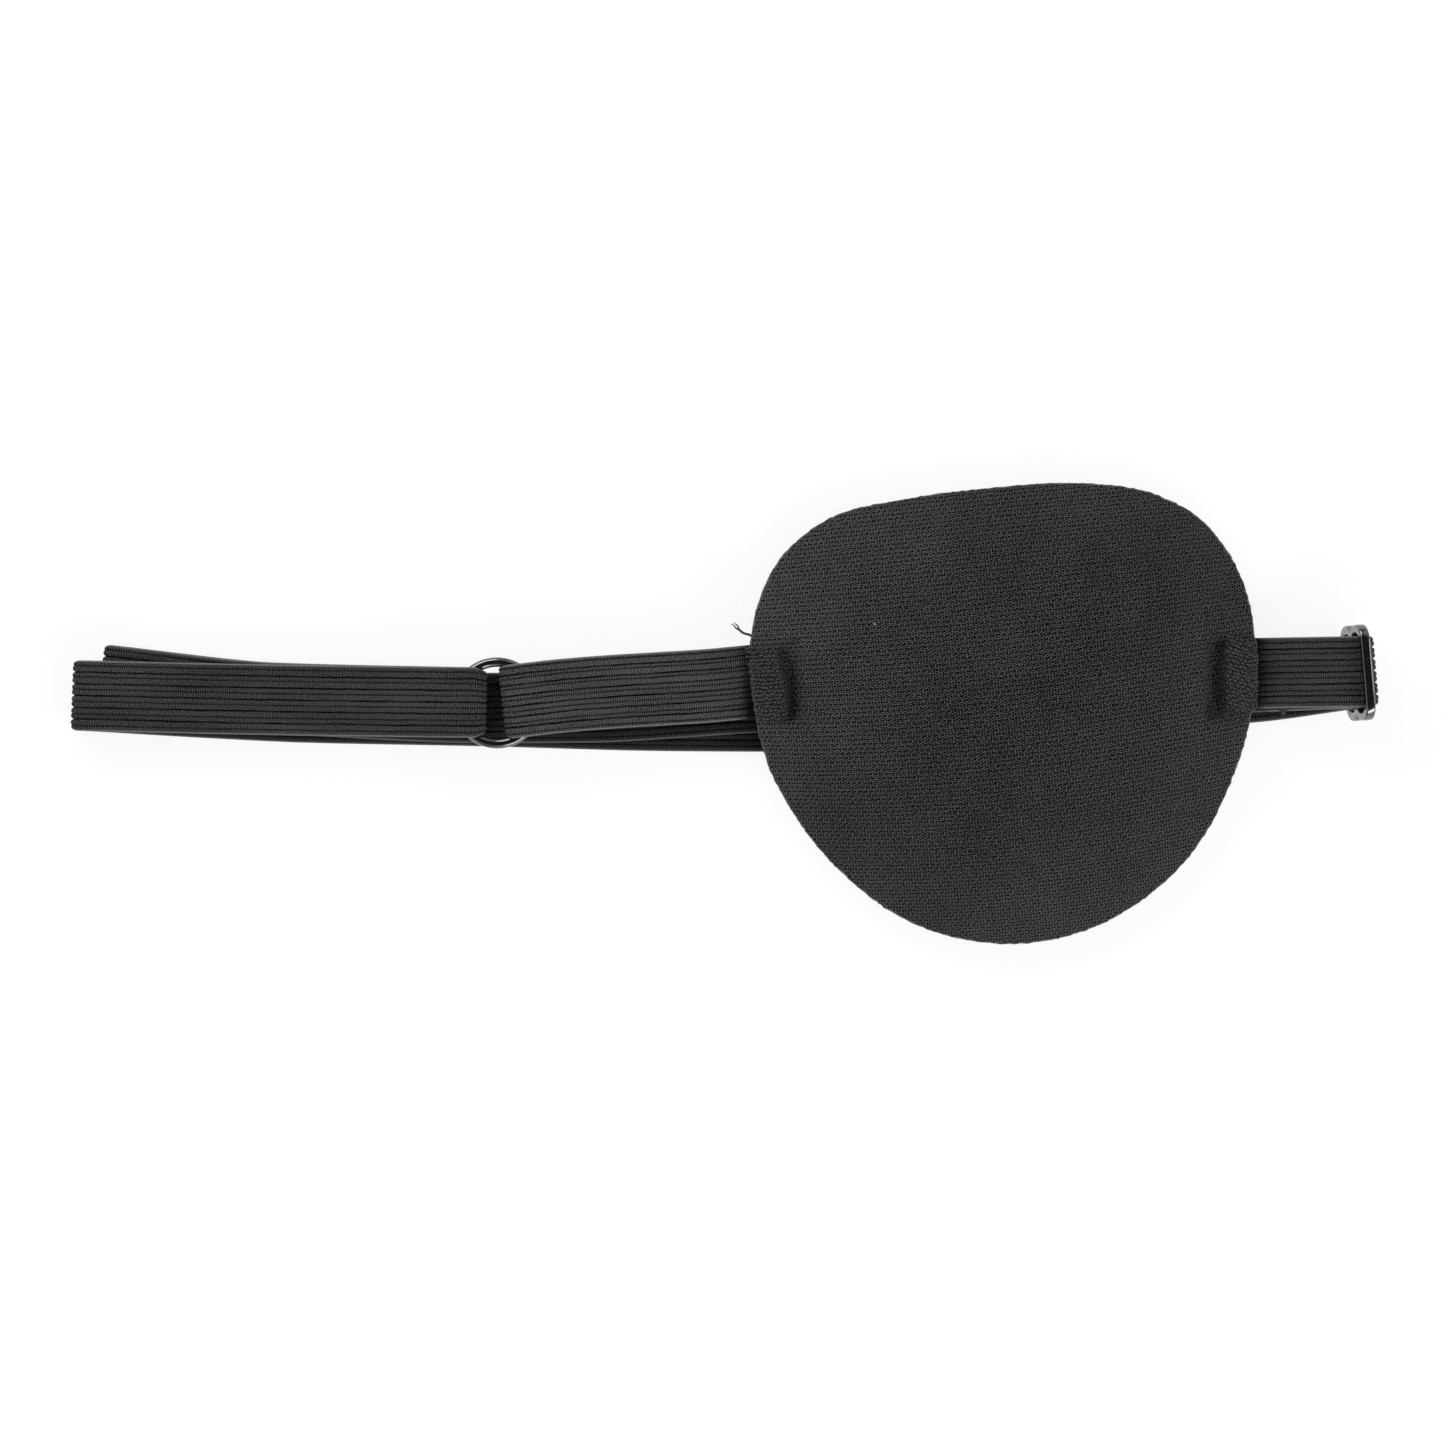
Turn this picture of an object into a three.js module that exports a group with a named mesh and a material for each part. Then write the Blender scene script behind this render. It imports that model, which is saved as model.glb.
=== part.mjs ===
// An eye patch on an adjustable elastic strap, laid face up with the strap folded back beneath it.
// Millimetres, +Z up, +X to the wearer's strap slider. Everything is placed from the middle of the
// patch, and the last lines put the finished group over the middle of its own box.

import * as THREE from "three";

// Elastic strap, and the air left between two layers that touch on the real thing
const strapWidth = 12;
const strapThickness = 1;
const strapEdgeRadius = 0.3;
const layerGap = 0.25;
const flatStep = 8;
const climbStep = 2;
const foldSteps = 10;

// Sewing thread
const threadDiameter = 0.3;
const threadSides = 5;
const stitchPitch = 0.9;
const tackTurnSteps = 4;
const seamTurnSteps = 3;
const threadTailLength = 3.4;

// Patch: cloth, foam and lining, cut as one outline and domed
const patchWidth = 87.4;
const patchHeight = 80.2;
const faceThickness = 0.5;
const foamThickness = 1.6;
const liningThickness = 0.4;
const hollowHeight = 9;
const rimClearance = 0.3;
const domePower = 2.4;
const rimSteps = 56;
const ringShares = [0.22, 0.42, 0.58, 0.7, 0.79, 0.86, 0.92, 0.96, 1];

// The outline as shares of half the width and half the height, round from the right
const outlineShares = [
  [1, 0.12],
  [0.964, 0.561],
  [0.813, 0.822],
  [0.594, 0.955],
  [0.276, 0.996],
  [-0.042, 0.974],
  [-0.36, 0.93],
  [-0.678, 0.843],
  [-0.889, 0.648],
  [-0.992, 0.33],
  [-0.968, -0.048],
  [-0.889, -0.309],
  [-0.662, -0.657],
  [-0.336, -0.917],
  [0.038, -1],
  [0.396, -0.917],
  [0.722, -0.657],
  [0.912, -0.309],
];

// Tacks that sew the strap's two ends under the patch
const tackLength = 5.8;
const tackInset = 1.2;
const tackOverhang = 0.7;
const squeezedFoam = 0.8;
const puckerWidth = 3.2;
const rimLiftWidth = 15;
const leftTackShare = 0.42;
const rightTackShare = 0.545;

// Ring that joins the short tab to the long strap
const ringSideClearance = 0.25;
const ringBore = strapWidth + 2 * ringSideClearance;
const ringWire = 1.7;
const ringSegments = 48;
const ringSectionSides = 10;
const tabReach = 44;
const tabFoldPastRing = 0.7;
const strapFoldShortOfRing = 1.7;
const ringLateralShare = 0.145;
const loopClearance = 0.25;

// Long strap's folded left end
const leftReach = 74.4;
const innerFoldSetback = 5.5;
const climbLength = 14;

// Slider: three bars and two slots, standing nearly upright in the strap
const sliderReach = 18.3;
const sliderLateralShare = 0.58;
const sliderThickness = 1.7;
const sliderBar = 1.6;
const sliderSlot = 3.4;
const slotSideClearance = 0.75;
const sliderSlotWidth = strapWidth + 2 * slotSideClearance;
const slotCornerRadius = 1.3;
const sliderBevel = 0.45;
const sliderBevelSteps = 2;
const sliderCornerSteps = 6;
const sliderLean = THREE.MathUtils.degToRad(12);
const sliderTurn = THREE.MathUtils.degToRad(4.9);
const sliderLift = 0.05;
const foldRunOut = 4.5;
const levelThroughSlots = 1.8;

// Strap end sewn back on itself round the slider's middle bar
const sewnEndReach = 12.5;
const endSeamLength = 3;
const endSeamInset = 0.6;
const loopRunOut = 1.6;

// Where each run lies across the patch's middle line: share of the run's length from its left end,
// and share of the strap's width
const lowerRunShares = [
  [0, 0.25],
  [0.113, 0.129],
  [0.175, 0.078],
  [0.309, 0.028],
  [0.458, -0.044],
  [0.536, -0.053],
  [0.917, 0.367],
  [1, 0.575],
];
const upperRunShares = [
  [0, 0.463],
  [0.14, 0.2],
  [0.315, 0.072],
  [0.379, 0.078],
  [0.522, 0.225],
  [0.915, 0.517],
  [1, 0.58],
];
const topRunShares = [
  [0, 0.25],
  [0.497, 0.188],
  [1, 0.15],
];
const innerRunShares = [
  [0, 0.463],
  [0.457, 0.208],
  [1, 0.15],
];
const tabShares = [
  [0, 0.167],
  [0.17, 0.246],
  [0.344, 0.303],
  [0.518, 0.347],
  [0.692, 0.39],
  [0.884, 0.463],
  [1, 0.5],
];
const anchorShares = [
  [0, 0.56],
  [0.3, 0.575],
  [1, 0.595],
];

// Heights of the strap's layers, from the table up
const halfStrap = strapThickness / 2;
const layerPitch = strapThickness + layerGap;
const lowerRunZ = halfStrap;
const upperRunZ = lowerRunZ + layerPitch;
const innerRunZ = upperRunZ + layerPitch;
const topRunZ = innerRunZ + layerPitch;
const sewnRunZ = upperRunZ + layerPitch + threadDiameter + layerGap;
const doubledRunZ = sewnRunZ + layerPitch;

// Ring's place, and the strap's heights under and over its wire
const leftEdgeX = -patchWidth / 2;
const rightEdgeX = patchWidth / 2;
const ringX = leftEdgeX - tabReach;
const ringY = ringLateralShare * strapWidth;
const ringRadius = (ringBore + ringWire) / 2;
const ringZ = innerRunZ + halfStrap + layerGap + ringWire / 2;
const ringWrapRadius = ringWire / 2 + layerGap + halfStrap;
const tabFoldX = ringX + tabFoldPastRing + halfStrap + ringWrapRadius;
const strapFoldX = ringX - strapFoldShortOfRing - halfStrap - ringWrapRadius;

// Left folds: the outer one wraps the inner one
const outerFoldRadius = (topRunZ - lowerRunZ) / 2;
const outerFoldX = ringX - leftReach + halfStrap + outerFoldRadius;
const innerFoldRadius = (innerRunZ - upperRunZ) / 2;
const innerFoldX = ringX - leftReach + innerFoldSetback + halfStrap + innerFoldRadius;

// Slider's place, and the radii of the two loops round its middle bar
const sliderLength = 3 * sliderBar + 2 * sliderSlot;
const sliderX = rightEdgeX + sliderReach;
const sliderY = sliderLateralShare * strapWidth;
const sliderFootDepth =
  (sliderLength / 2) * Math.cos(sliderLean) + (sliderThickness / 2 - sliderBevel) * Math.sin(sliderLean);
const sliderZ = sliderFootDepth + sliderLift;
const sewnLoopRadius = sliderBar / 2 + layerGap + halfStrap;
const mainLoopRadius = sewnLoopRadius + layerPitch;
const levelX = sliderX - levelThroughSlots;
const foldEndX = sliderX - foldRunOut;
const sewnEndX = sliderX - sewnEndReach;
const sewnLoopEndX = sewnEndX - loopRunOut;
const seamLegZ = lowerRunZ + layerPitch + threadDiameter + layerGap;
const seamEndZ = seamLegZ + layerPitch;
const seamClearZ = seamEndZ + layerPitch + threadDiameter + layerGap;

// Tacks, with the height of the lining over each strap
const leftTack = {
  x: leftEdgeX + tackInset + tackLength / 2,
  y: leftTackShare * strapWidth,
  baseZ: doubledRunZ + halfStrap + layerGap,
};
const rightTack = {
  x: rightEdgeX - tackInset - tackLength / 2,
  y: rightTackShare * strapWidth,
  baseZ: sewnRunZ + halfStrap + layerGap,
};
const tacks = [leftTack, rightTack];
const tackHalfWidth = strapWidth / 2 + tackOverhang;

const cloth = { color: 0x313234, roughness: 0.95, metalness: 0 };
const foam = { color: 0x2a2a2c, roughness: 1, metalness: 0 };
const elastic = { color: 0x2f2e2e, roughness: 0.9, metalness: 0 };
const thread = { color: 0x3a3b3d, roughness: 0.6, metalness: 0 };
const blackMetal = { color: 0x0c0c0d, roughness: 0.15, metalness: 0.3 };

// Small measures
const mix = (from, to, share) => from + (to - from) * share;
const clampShare = (value) => Math.min(1, Math.max(0, value));
const smoothShare = (value) => clampShare(value) ** 2 * (3 - 2 * clampShare(value));

// Slope of an eased line at one of its pairs: level at the ends of a flat or at a turn
function easedSlope(pairs, index) {
  const before = pairs[Math.max(index - 1, 0)];
  const here = pairs[index];
  const after = pairs[Math.min(index + 1, pairs.length - 1)];
  const rising = index > 0 ? (here[1] - before[1]) / (here[0] - before[0]) : null;
  const leaving = index < pairs.length - 1 ? (after[1] - here[1]) / (after[0] - here[0]) : null;
  if (rising === null) return leaving;
  if (leaving === null) return rising;
  if (rising * leaving <= 0) return 0;
  return (2 * rising * leaving) / (rising + leaving);
}

// Value at one place on a line eased through [place, value] pairs, without overshoot
function easedThrough(pairs, place) {
  let index = 0;
  while (index < pairs.length - 2 && place > pairs[index + 1][0]) index += 1;
  const [startPlace, startValue] = pairs[index];
  const [endPlace, endValue] = pairs[index + 1];
  const span = endPlace - startPlace;
  const t = clampShare((place - startPlace) / span);
  const startSlope = easedSlope(pairs, index) * span;
  const endSlope = easedSlope(pairs, index + 1) * span;
  const bend = t * t * (3 - 2 * t);
  return (
    mix(startValue, endValue, bend) + startSlope * t * (1 - t) ** 2 - endSlope * t * t * (1 - t)
  );
}

function addMesh(group, name, geometry, finish) {
  const mesh = new THREE.Mesh(geometry, new THREE.MeshStandardMaterial(finish));
  mesh.name = name;
  group.add(mesh);
  return mesh;
}

function geometryFrom(vertices, faces) {
  const geometry = new THREE.BufferGeometry();
  geometry.setAttribute("position", new THREE.Float32BufferAttribute(vertices, 3));
  geometry.setIndex(faces);
  geometry.computeVertexNormals();
  return geometry;
}

// A closed solid swept through stops. Each stop has its place, its side direction and its section,
// a ring of [across, up] offsets.
function sweptGeometry(stops) {
  const sides = stops[0].section.length;
  const vertices = [];
  const faces = [];
  stops.forEach((stop, index) => {
    const before = stops[Math.max(index - 1, 0)].place;
    const after = stops[Math.min(index + 1, stops.length - 1)].place;
    const tangent = after.clone().sub(before).normalize();
    const up = new THREE.Vector3().crossVectors(tangent, stop.side).normalize();
    const side = new THREE.Vector3().crossVectors(up, tangent).normalize();
    for (const [across, rise] of stop.section) {
      const corner = stop.place.clone().addScaledVector(side, across).addScaledVector(up, rise);
      vertices.push(corner.x, corner.y, corner.z);
    }
  });
  for (let index = 0; index < stops.length - 1; index += 1) {
    for (let k = 0; k < sides; k += 1) {
      const next = (k + 1) % sides;
      const near = index * sides;
      const far = near + sides;
      faces.push(near + k, near + next, far + next, near + k, far + next, far + k);
    }
  }
  const last = (stops.length - 1) * sides;
  for (let k = 1; k < sides - 1; k += 1) {
    faces.push(0, k + 1, k, last, last + k, last + k + 1);
  }
  return geometryFrom(vertices, faces);
}

// Strap section with rounded edges
function strapSection(width) {
  const flat = width / 2 - strapEdgeRadius;
  const thin = halfStrap - strapEdgeRadius;
  return [
    [width / 2, -thin],
    [width / 2, thin],
    [flat, halfStrap],
    [-flat, halfStrap],
    [-width / 2, thin],
    [-width / 2, -thin],
    [-flat, -halfStrap],
    [flat, -halfStrap],
  ];
}

function strapStop(x, y, z, heading, width = strapWidth) {
  return {
    place: new THREE.Vector3(x, y, z),
    side: new THREE.Vector3(-Math.sin(heading), Math.cos(heading), 0),
    section: strapSection(width),
  };
}

// A run of strap laid between two places along X. Its line across the table is read from shares of
// a whole span, and its height from [x, z] pairs.
function run(shares, spanFromX, spanToX, heights) {
  const span = spanToX - spanFromX;
  const lateral = (x) => easedThrough(shares, (x - spanFromX) / span) * strapWidth;
  const heading = (x) => {
    const before = Math.max(x - climbStep, spanFromX);
    const after = Math.min(x + climbStep, spanToX);
    return Math.atan2(lateral(after) - lateral(before), after - before);
  };
  return { lateral, heading, heights };
}

// Places along a run, with every place where its height starts or stops changing
function runPlaces(laid, fromX, toX) {
  const bends = laid.heights.map(([x]) => x).filter((x) => x > fromX && x < toX);
  const keys = [fromX, ...bends, toX];
  const places = [fromX];
  for (let index = 1; index < keys.length; index += 1) {
    const [start, end] = [keys[index - 1], keys[index]];
    const level = easedThrough(laid.heights, start) === easedThrough(laid.heights, end);
    const steps = Math.ceil((end - start) / (level ? flatStep : climbStep));
    for (let step = 1; step <= steps; step += 1) places.push(mix(start, end, step / steps));
  }
  return places;
}

function runStops(laid, startX, endX) {
  const places = runPlaces(laid, Math.min(startX, endX), Math.max(startX, endX));
  if (endX < startX) places.reverse();
  return places.map((x) => strapStop(x, laid.lateral(x), easedThrough(laid.heights, x), laid.heading(x)));
}

// A half turn of strap from one height to another. It bulges to the left or the right by its
// radius, and may be drawn in to a narrower width half way round.
function foldStops({ x, y, fromZ, toZ, bulge, fromHeading, toHeading, waist = strapWidth, inner = false }) {
  const radius = Math.abs(toZ - fromZ) / 2;
  const middleZ = (fromZ + toZ) / 2;
  const stops = [];
  const first = inner ? 1 : 0;
  for (let index = first; index <= foldSteps - first; index += 1) {
    const share = index / foldSteps;
    const turn = share * Math.PI;
    const heading = mix(fromHeading, toHeading, share);
    const out = bulge * radius * Math.sin(turn);
    stops.push(
      strapStop(
        x + out * Math.cos(heading),
        y + out * Math.sin(heading),
        middleZ + Math.cos(turn) * (fromZ - middleZ),
        heading,
        mix(strapWidth, waist, Math.sin(turn)),
      ),
    );
  }
  return stops;
}

// Strap runs that are read by more than one piece
const lowerRun = run(lowerRunShares, outerFoldX, sliderX, [
  [outerFoldX, lowerRunZ],
  [sewnEndX + endSeamInset + endSeamLength, lowerRunZ],
  [levelX, sliderZ - mainLoopRadius],
  [sliderX, sliderZ - mainLoopRadius],
]);
const upperRun = run(upperRunShares, innerFoldX, sliderX, [
  [innerFoldX, upperRunZ],
  [rightEdgeX + tackOverhang, upperRunZ],
  [sewnEndX, seamLegZ],
  [sewnEndX + endSeamInset + endSeamLength, seamLegZ],
  [levelX, sliderZ - sewnLoopRadius],
  [sliderX, sliderZ - sewnLoopRadius],
]);
const topRun = run(topRunShares, outerFoldX, strapFoldX, [
  [outerFoldX, topRunZ],
  [ringX - ringRadius - ringWire - climbLength, topRunZ],
  [ringX - ringRadius - ringWire / 2, ringZ + ringWrapRadius],
  [strapFoldX, ringZ + ringWrapRadius],
]);
const innerRun = run(innerRunShares, innerFoldX, strapFoldX, [
  [innerFoldX, innerRunZ],
  [strapFoldX, innerRunZ],
]);
const tabEndX = leftTack.x + tackLength / 2 + tackOverhang;
const tabUpperLeg = run(tabShares, tabFoldX, tabEndX, [
  [tabFoldX, ringZ + ringWrapRadius],
  [ringX + ringRadius + ringWire / 2, ringZ + ringWrapRadius],
  [leftEdgeX - tackOverhang, doubledRunZ],
  [tabEndX, doubledRunZ],
]);
const tabLowerLeg = run(tabShares, tabFoldX, tabEndX, [
  [tabFoldX, innerRunZ],
  [ringX + ringRadius + ringWire / 2, innerRunZ],
  [leftEdgeX - tackOverhang, sewnRunZ],
  [tabEndX, sewnRunZ],
]);
const anchorStartX = rightTack.x - tackLength / 2 - tackOverhang;
const anchorRun = run(anchorShares, anchorStartX, sliderX, [
  [anchorStartX, sewnRunZ],
  [rightEdgeX, sewnRunZ],
  [sewnEndX, seamClearZ],
  [levelX, sliderZ + mainLoopRadius],
  [sliderX, sliderZ + mainLoopRadius],
]);
const sewnLeg = run(upperRunShares, innerFoldX, sliderX, [
  [sewnEndX, seamEndZ],
  [sewnEndX + endSeamInset + endSeamLength, seamEndZ],
  [levelX, sliderZ + sewnLoopRadius],
  [sliderX, sliderZ + sewnLoopRadius],
]);

// Patch outline, and the shape of its domed underside
const rimCurve = new THREE.CatmullRomCurve3(
  outlineShares.map(
    ([across, up]) => new THREE.Vector3((across * patchWidth) / 2, (up * patchHeight) / 2, 0),
  ),
  true,
);
const rimPoints = rimCurve.getSpacedPoints(rimSteps).slice(0, rimSteps);

// How firmly a tack holds the cloth down at a place: 1 in the tack, fading over the pucker
function tackHold(tack, x, y) {
  const alongExcess = Math.max(Math.abs(x - tack.x) - tackLength / 2, 0);
  const acrossExcess = Math.max(Math.abs(y - tack.y) - tackHalfWidth, 0);
  return 1 - smoothShare(Math.hypot(alongExcess, acrossExcess) / puckerWidth);
}

// The rim lies just over the table and climbs over the strap at each tack
function rimHeight(rim) {
  const tack = rim.x < 0 ? leftTack : rightTack;
  const excess = Math.max(Math.abs(rim.y - tack.y) - tackHalfWidth, 0);
  return mix(tack.baseZ, rimClearance, smoothShare(excess / rimLiftWidth));
}

function undersideHeight(rim, reach) {
  const rimZ = rimHeight(rim);
  const domed = mix(hollowHeight, rimZ, reach ** domePower);
  return tacks.reduce(
    (height, tack) => mix(height, tack.baseZ, tackHold(tack, rim.x * reach, rim.y * reach)),
    domed,
  );
}

function foamThicknessAt(rim, reach) {
  const x = rim.x * reach;
  const y = rim.y * reach;
  const hold = Math.max(tackHold(leftTack, x, y), tackHold(rightTack, x, y));
  return mix(foamThickness, squeezedFoam, hold);
}

// Heights of the laminate's surfaces above the underside, layer by layer
const liningTop = (rim, reach) => undersideHeight(rim, reach) + liningThickness;
const foamBottom = (rim, reach) => liningTop(rim, reach) + layerGap;
const foamTop = (rim, reach) => foamBottom(rim, reach) + foamThicknessAt(rim, reach);
const faceBottom = (rim, reach) => foamTop(rim, reach) + layerGap;
const faceTop = (rim, reach) => faceBottom(rim, reach) + faceThickness;

// One closed layer of the patch between two height functions
function layerGeometry(bottomAt, topAt) {
  const vertices = [];
  const faces = [];
  const levels = [bottomAt, topAt];
  const perLevel = 1 + ringShares.length * rimSteps;
  for (const heightAt of levels) {
    vertices.push(0, 0, heightAt(rimPoints[0], 0));
    for (const reach of ringShares) {
      for (const rim of rimPoints) {
        vertices.push(rim.x * reach, rim.y * reach, heightAt(rim, reach));
      }
    }
  }
  const corner = (level, ring, step) => level * perLevel + 1 + ring * rimSteps + (step % rimSteps);
  const face = (level, a, b, c) => faces.push(...(level ? [a, b, c] : [a, c, b]));
  for (let level = 0; level < levels.length; level += 1) {
    for (let step = 0; step < rimSteps; step += 1) {
      face(level, level * perLevel, corner(level, 0, step), corner(level, 0, step + 1));
      for (let ring = 0; ring < ringShares.length - 1; ring += 1) {
        const inner = [corner(level, ring, step), corner(level, ring, step + 1)];
        const outer = [corner(level, ring + 1, step), corner(level, ring + 1, step + 1)];
        face(level, inner[0], outer[0], outer[1]);
        face(level, inner[0], outer[1], inner[1]);
      }
    }
  }
  const rimRing = ringShares.length - 1;
  for (let step = 0; step < rimSteps; step += 1) {
    const low = [corner(0, rimRing, step), corner(0, rimRing, step + 1)];
    const high = [corner(1, rimRing, step), corner(1, rimRing, step + 1)];
    faces.push(low[0], low[1], high[1], low[0], high[1], high[0]);
  }
  return geometryFrom(vertices, faces);
}

// A thread laid to and fro along X over a tack's area, row by row across the strap
function serpentinePoints(centreX, centreY, length, width, turnSteps) {
  const rows = Math.round(width / stitchPitch);
  const pitch = width / rows;
  const points = [];
  for (let row = 0; row <= rows; row += 1) {
    const y = centreY - width / 2 + row * pitch;
    const way = row % 2 === 0 ? 1 : -1;
    const reach = length / 2 - pitch / 2;
    points.push([centreX - way * reach, y], [centreX, y], [centreX + way * reach, y]);
    if (row === rows) break;
    for (let step = 1; step < turnSteps; step += 1) {
      const turn = (step / turnSteps) * Math.PI;
      points.push([
        centreX + way * (reach + (pitch / 2) * Math.sin(turn)),
        y + (pitch / 2) * (1 - Math.cos(turn)),
      ]);
    }
  }
  return points;
}

function threadGeometry(points) {
  const radius = threadDiameter / 2;
  const section = Array.from({ length: threadSides }, (_, k) => {
    const turn = (k / threadSides) * 2 * Math.PI;
    return [radius * Math.cos(turn), radius * Math.sin(turn)];
  });
  return sweptGeometry(
    points.map((place, index) => {
      const before = points[Math.max(index - 1, 0)];
      const after = points[Math.min(index + 1, points.length - 1)];
      const side = new THREE.Vector3(before.y - after.y, after.x - before.x, 0).normalize();
      return { place, side, section };
    }),
  );
}

// Height of a mesh's top surface under a place
function topOf(mesh, x, y) {
  const above = new THREE.Vector3(x, y, patchHeight);
  const caster = new THREE.Raycaster(above, new THREE.Vector3(0, 0, -1));
  const hits = caster.intersectObject(mesh);
  return hits.length > 0 ? hits[0].point.z : null;
}

function buildPatch(group) {
  addMesh(group, "lining_cloth", layerGeometry(undersideHeight, liningTop), cloth);
  addMesh(group, "foam_core", layerGeometry(foamBottom, foamTop), foam);
  return addMesh(group, "face_cloth", layerGeometry(faceBottom, faceTop), cloth);
}

// Threads of one tack: the needle thread on the face cloth, and the bobbin thread under the strap
function buildTack(group, side, tack, faceCloth, tail) {
  const radius = threadDiameter / 2;
  const flat = serpentinePoints(tack.x, tack.y, tackLength, 2 * tackHalfWidth, tackTurnSteps);
  const onCloth = flat.map(([x, y]) => new THREE.Vector3(x, y, topOf(faceCloth, x, y) + layerGap + radius));
  const underStrap = flat.map(([x, y]) => new THREE.Vector3(x, y, sewnRunZ - halfStrap - layerGap - radius));
  addMesh(group, `${side}_tack_needle_thread`, threadGeometry([...onCloth, ...tail(onCloth)]), thread);
  addMesh(group, `${side}_tack_bobbin_thread`, threadGeometry(underStrap), thread);
}

// The left tack's needle thread ends in a loose tail that stands out past the patch's edge
function looseTail(onCloth) {
  const last = onCloth[onCloth.length - 1];
  const beforeEdge = new THREE.Vector3(last.x - tackInset, last.y + threadDiameter, last.z);
  const pastEdge = beforeEdge.clone().add(new THREE.Vector3(-tackInset, threadDiameter, 0));
  const end = pastEdge.clone().add(new THREE.Vector3(-threadTailLength / 2, threadTailLength / 2, 0));
  return [beforeEdge, pastEdge, end];
}

function buildTab(group) {
  const upper = runStops(tabUpperLeg, tabEndX, tabFoldX);
  const lower = runStops(tabLowerLeg, tabFoldX, tabEndX);
  const heading = tabUpperLeg.heading(tabFoldX);
  const chord = Math.sqrt((ringBore / 2) ** 2 - (tabFoldPastRing + strapThickness) ** 2);
  const fold = foldStops({
    x: tabFoldX,
    y: tabUpperLeg.lateral(tabFoldX),
    fromZ: ringZ + ringWrapRadius,
    toZ: ringZ - ringWrapRadius,
    bulge: -1,
    fromHeading: heading,
    toHeading: heading,
    waist: Math.min(strapWidth, 2 * (chord - loopClearance)),
    inner: true,
  });
  addMesh(group, "ring_tab", sweptGeometry([...upper, ...fold, ...lower]), elastic);
}

function buildRing(group) {
  const profile = Array.from({ length: ringSectionSides + 1 }, (_, index) => {
    const turn = (index / ringSectionSides) * 2 * Math.PI;
    return new THREE.Vector2(
      ringRadius + (ringWire / 2) * Math.cos(turn),
      (ringWire / 2) * Math.sin(turn),
    );
  });
  const geometry = new THREE.LatheGeometry(profile, ringSegments);
  geometry.rotateX(Math.PI / 2);
  addMesh(group, "ring", geometry, blackMetal).position.set(ringX, ringY, ringZ);
}

// The long strap's loop through the ring: the top run, the fold through the bore, the inner run
function buildRingLoop(group) {
  const chord = Math.sqrt((ringBore / 2) ** 2 - (strapFoldShortOfRing + strapThickness) ** 2);
  const top = runStops(topRun, outerFoldX + layerGap, strapFoldX);
  const inner = runStops(innerRun, strapFoldX, innerFoldX + layerGap);
  const fold = foldStops({
    x: strapFoldX,
    y: topRun.lateral(strapFoldX),
    fromZ: ringZ + ringWrapRadius,
    toZ: ringZ - ringWrapRadius,
    bulge: 1,
    fromHeading: topRun.heading(strapFoldX),
    toHeading: innerRun.heading(strapFoldX),
    waist: Math.min(strapWidth, 2 * (chord - loopClearance)),
    inner: true,
  });
  addMesh(group, "strap_ring_loop", sweptGeometry([...top, ...fold, ...inner]), elastic);
}

function buildLeftFolds(group) {
  const outer = foldStops({
    x: outerFoldX,
    y: topRun.lateral(outerFoldX),
    fromZ: topRunZ,
    toZ: lowerRunZ,
    bulge: -1,
    fromHeading: topRun.heading(outerFoldX),
    toHeading: lowerRun.heading(outerFoldX),
  });
  const inner = foldStops({
    x: innerFoldX,
    y: innerRun.lateral(innerFoldX),
    fromZ: innerRunZ,
    toZ: upperRunZ,
    bulge: -1,
    fromHeading: innerRun.heading(innerFoldX),
    toHeading: upperRun.heading(innerFoldX),
  });
  addMesh(group, "strap_outer_fold", sweptGeometry(outer), elastic);
  addMesh(group, "strap_inner_fold", sweptGeometry(inner), elastic);
}

function buildRuns(group) {
  const lower = runStops(lowerRun, outerFoldX + layerGap, foldEndX);
  const upper = runStops(upperRun, innerFoldX + layerGap, sewnLoopEndX);
  const anchor = runStops(anchorRun, anchorStartX, foldEndX);
  addMesh(group, "strap_lower_run", sweptGeometry(lower), elastic);
  addMesh(group, "strap_upper_run", sweptGeometry(upper), elastic);
  addMesh(group, "strap_anchor_run", sweptGeometry(anchor), elastic);
}

// The main strap's turn through both slots, outside the loop that is sewn round the middle bar
function buildSliderFold(group) {
  const over = runStops(anchorRun, foldEndX + layerGap, sliderX);
  const under = runStops(lowerRun, sliderX, foldEndX + layerGap);
  const fold = foldStops({
    x: sliderX,
    y: anchorRun.lateral(sliderX),
    fromZ: sliderZ + mainLoopRadius,
    toZ: sliderZ - mainLoopRadius,
    bulge: 1,
    fromHeading: sliderTurn,
    toHeading: sliderTurn,
    inner: true,
  });
  addMesh(group, "strap_slider_fold", sweptGeometry([...over, ...fold, ...under]), elastic);
}

function buildSewnEnd(group) {
  const over = runStops(sewnLeg, sewnEndX, sliderX);
  const under = runStops(upperRun, sliderX, sewnLoopEndX + layerGap);
  const fold = foldStops({
    x: sliderX,
    y: sewnLeg.lateral(sliderX),
    fromZ: sliderZ + sewnLoopRadius,
    toZ: sliderZ - sewnLoopRadius,
    bulge: 1,
    fromHeading: sliderTurn,
    toHeading: sliderTurn,
    inner: true,
  });
  addMesh(group, "strap_sewn_end", sweptGeometry([...over, ...fold, ...under]), elastic);
}

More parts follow.
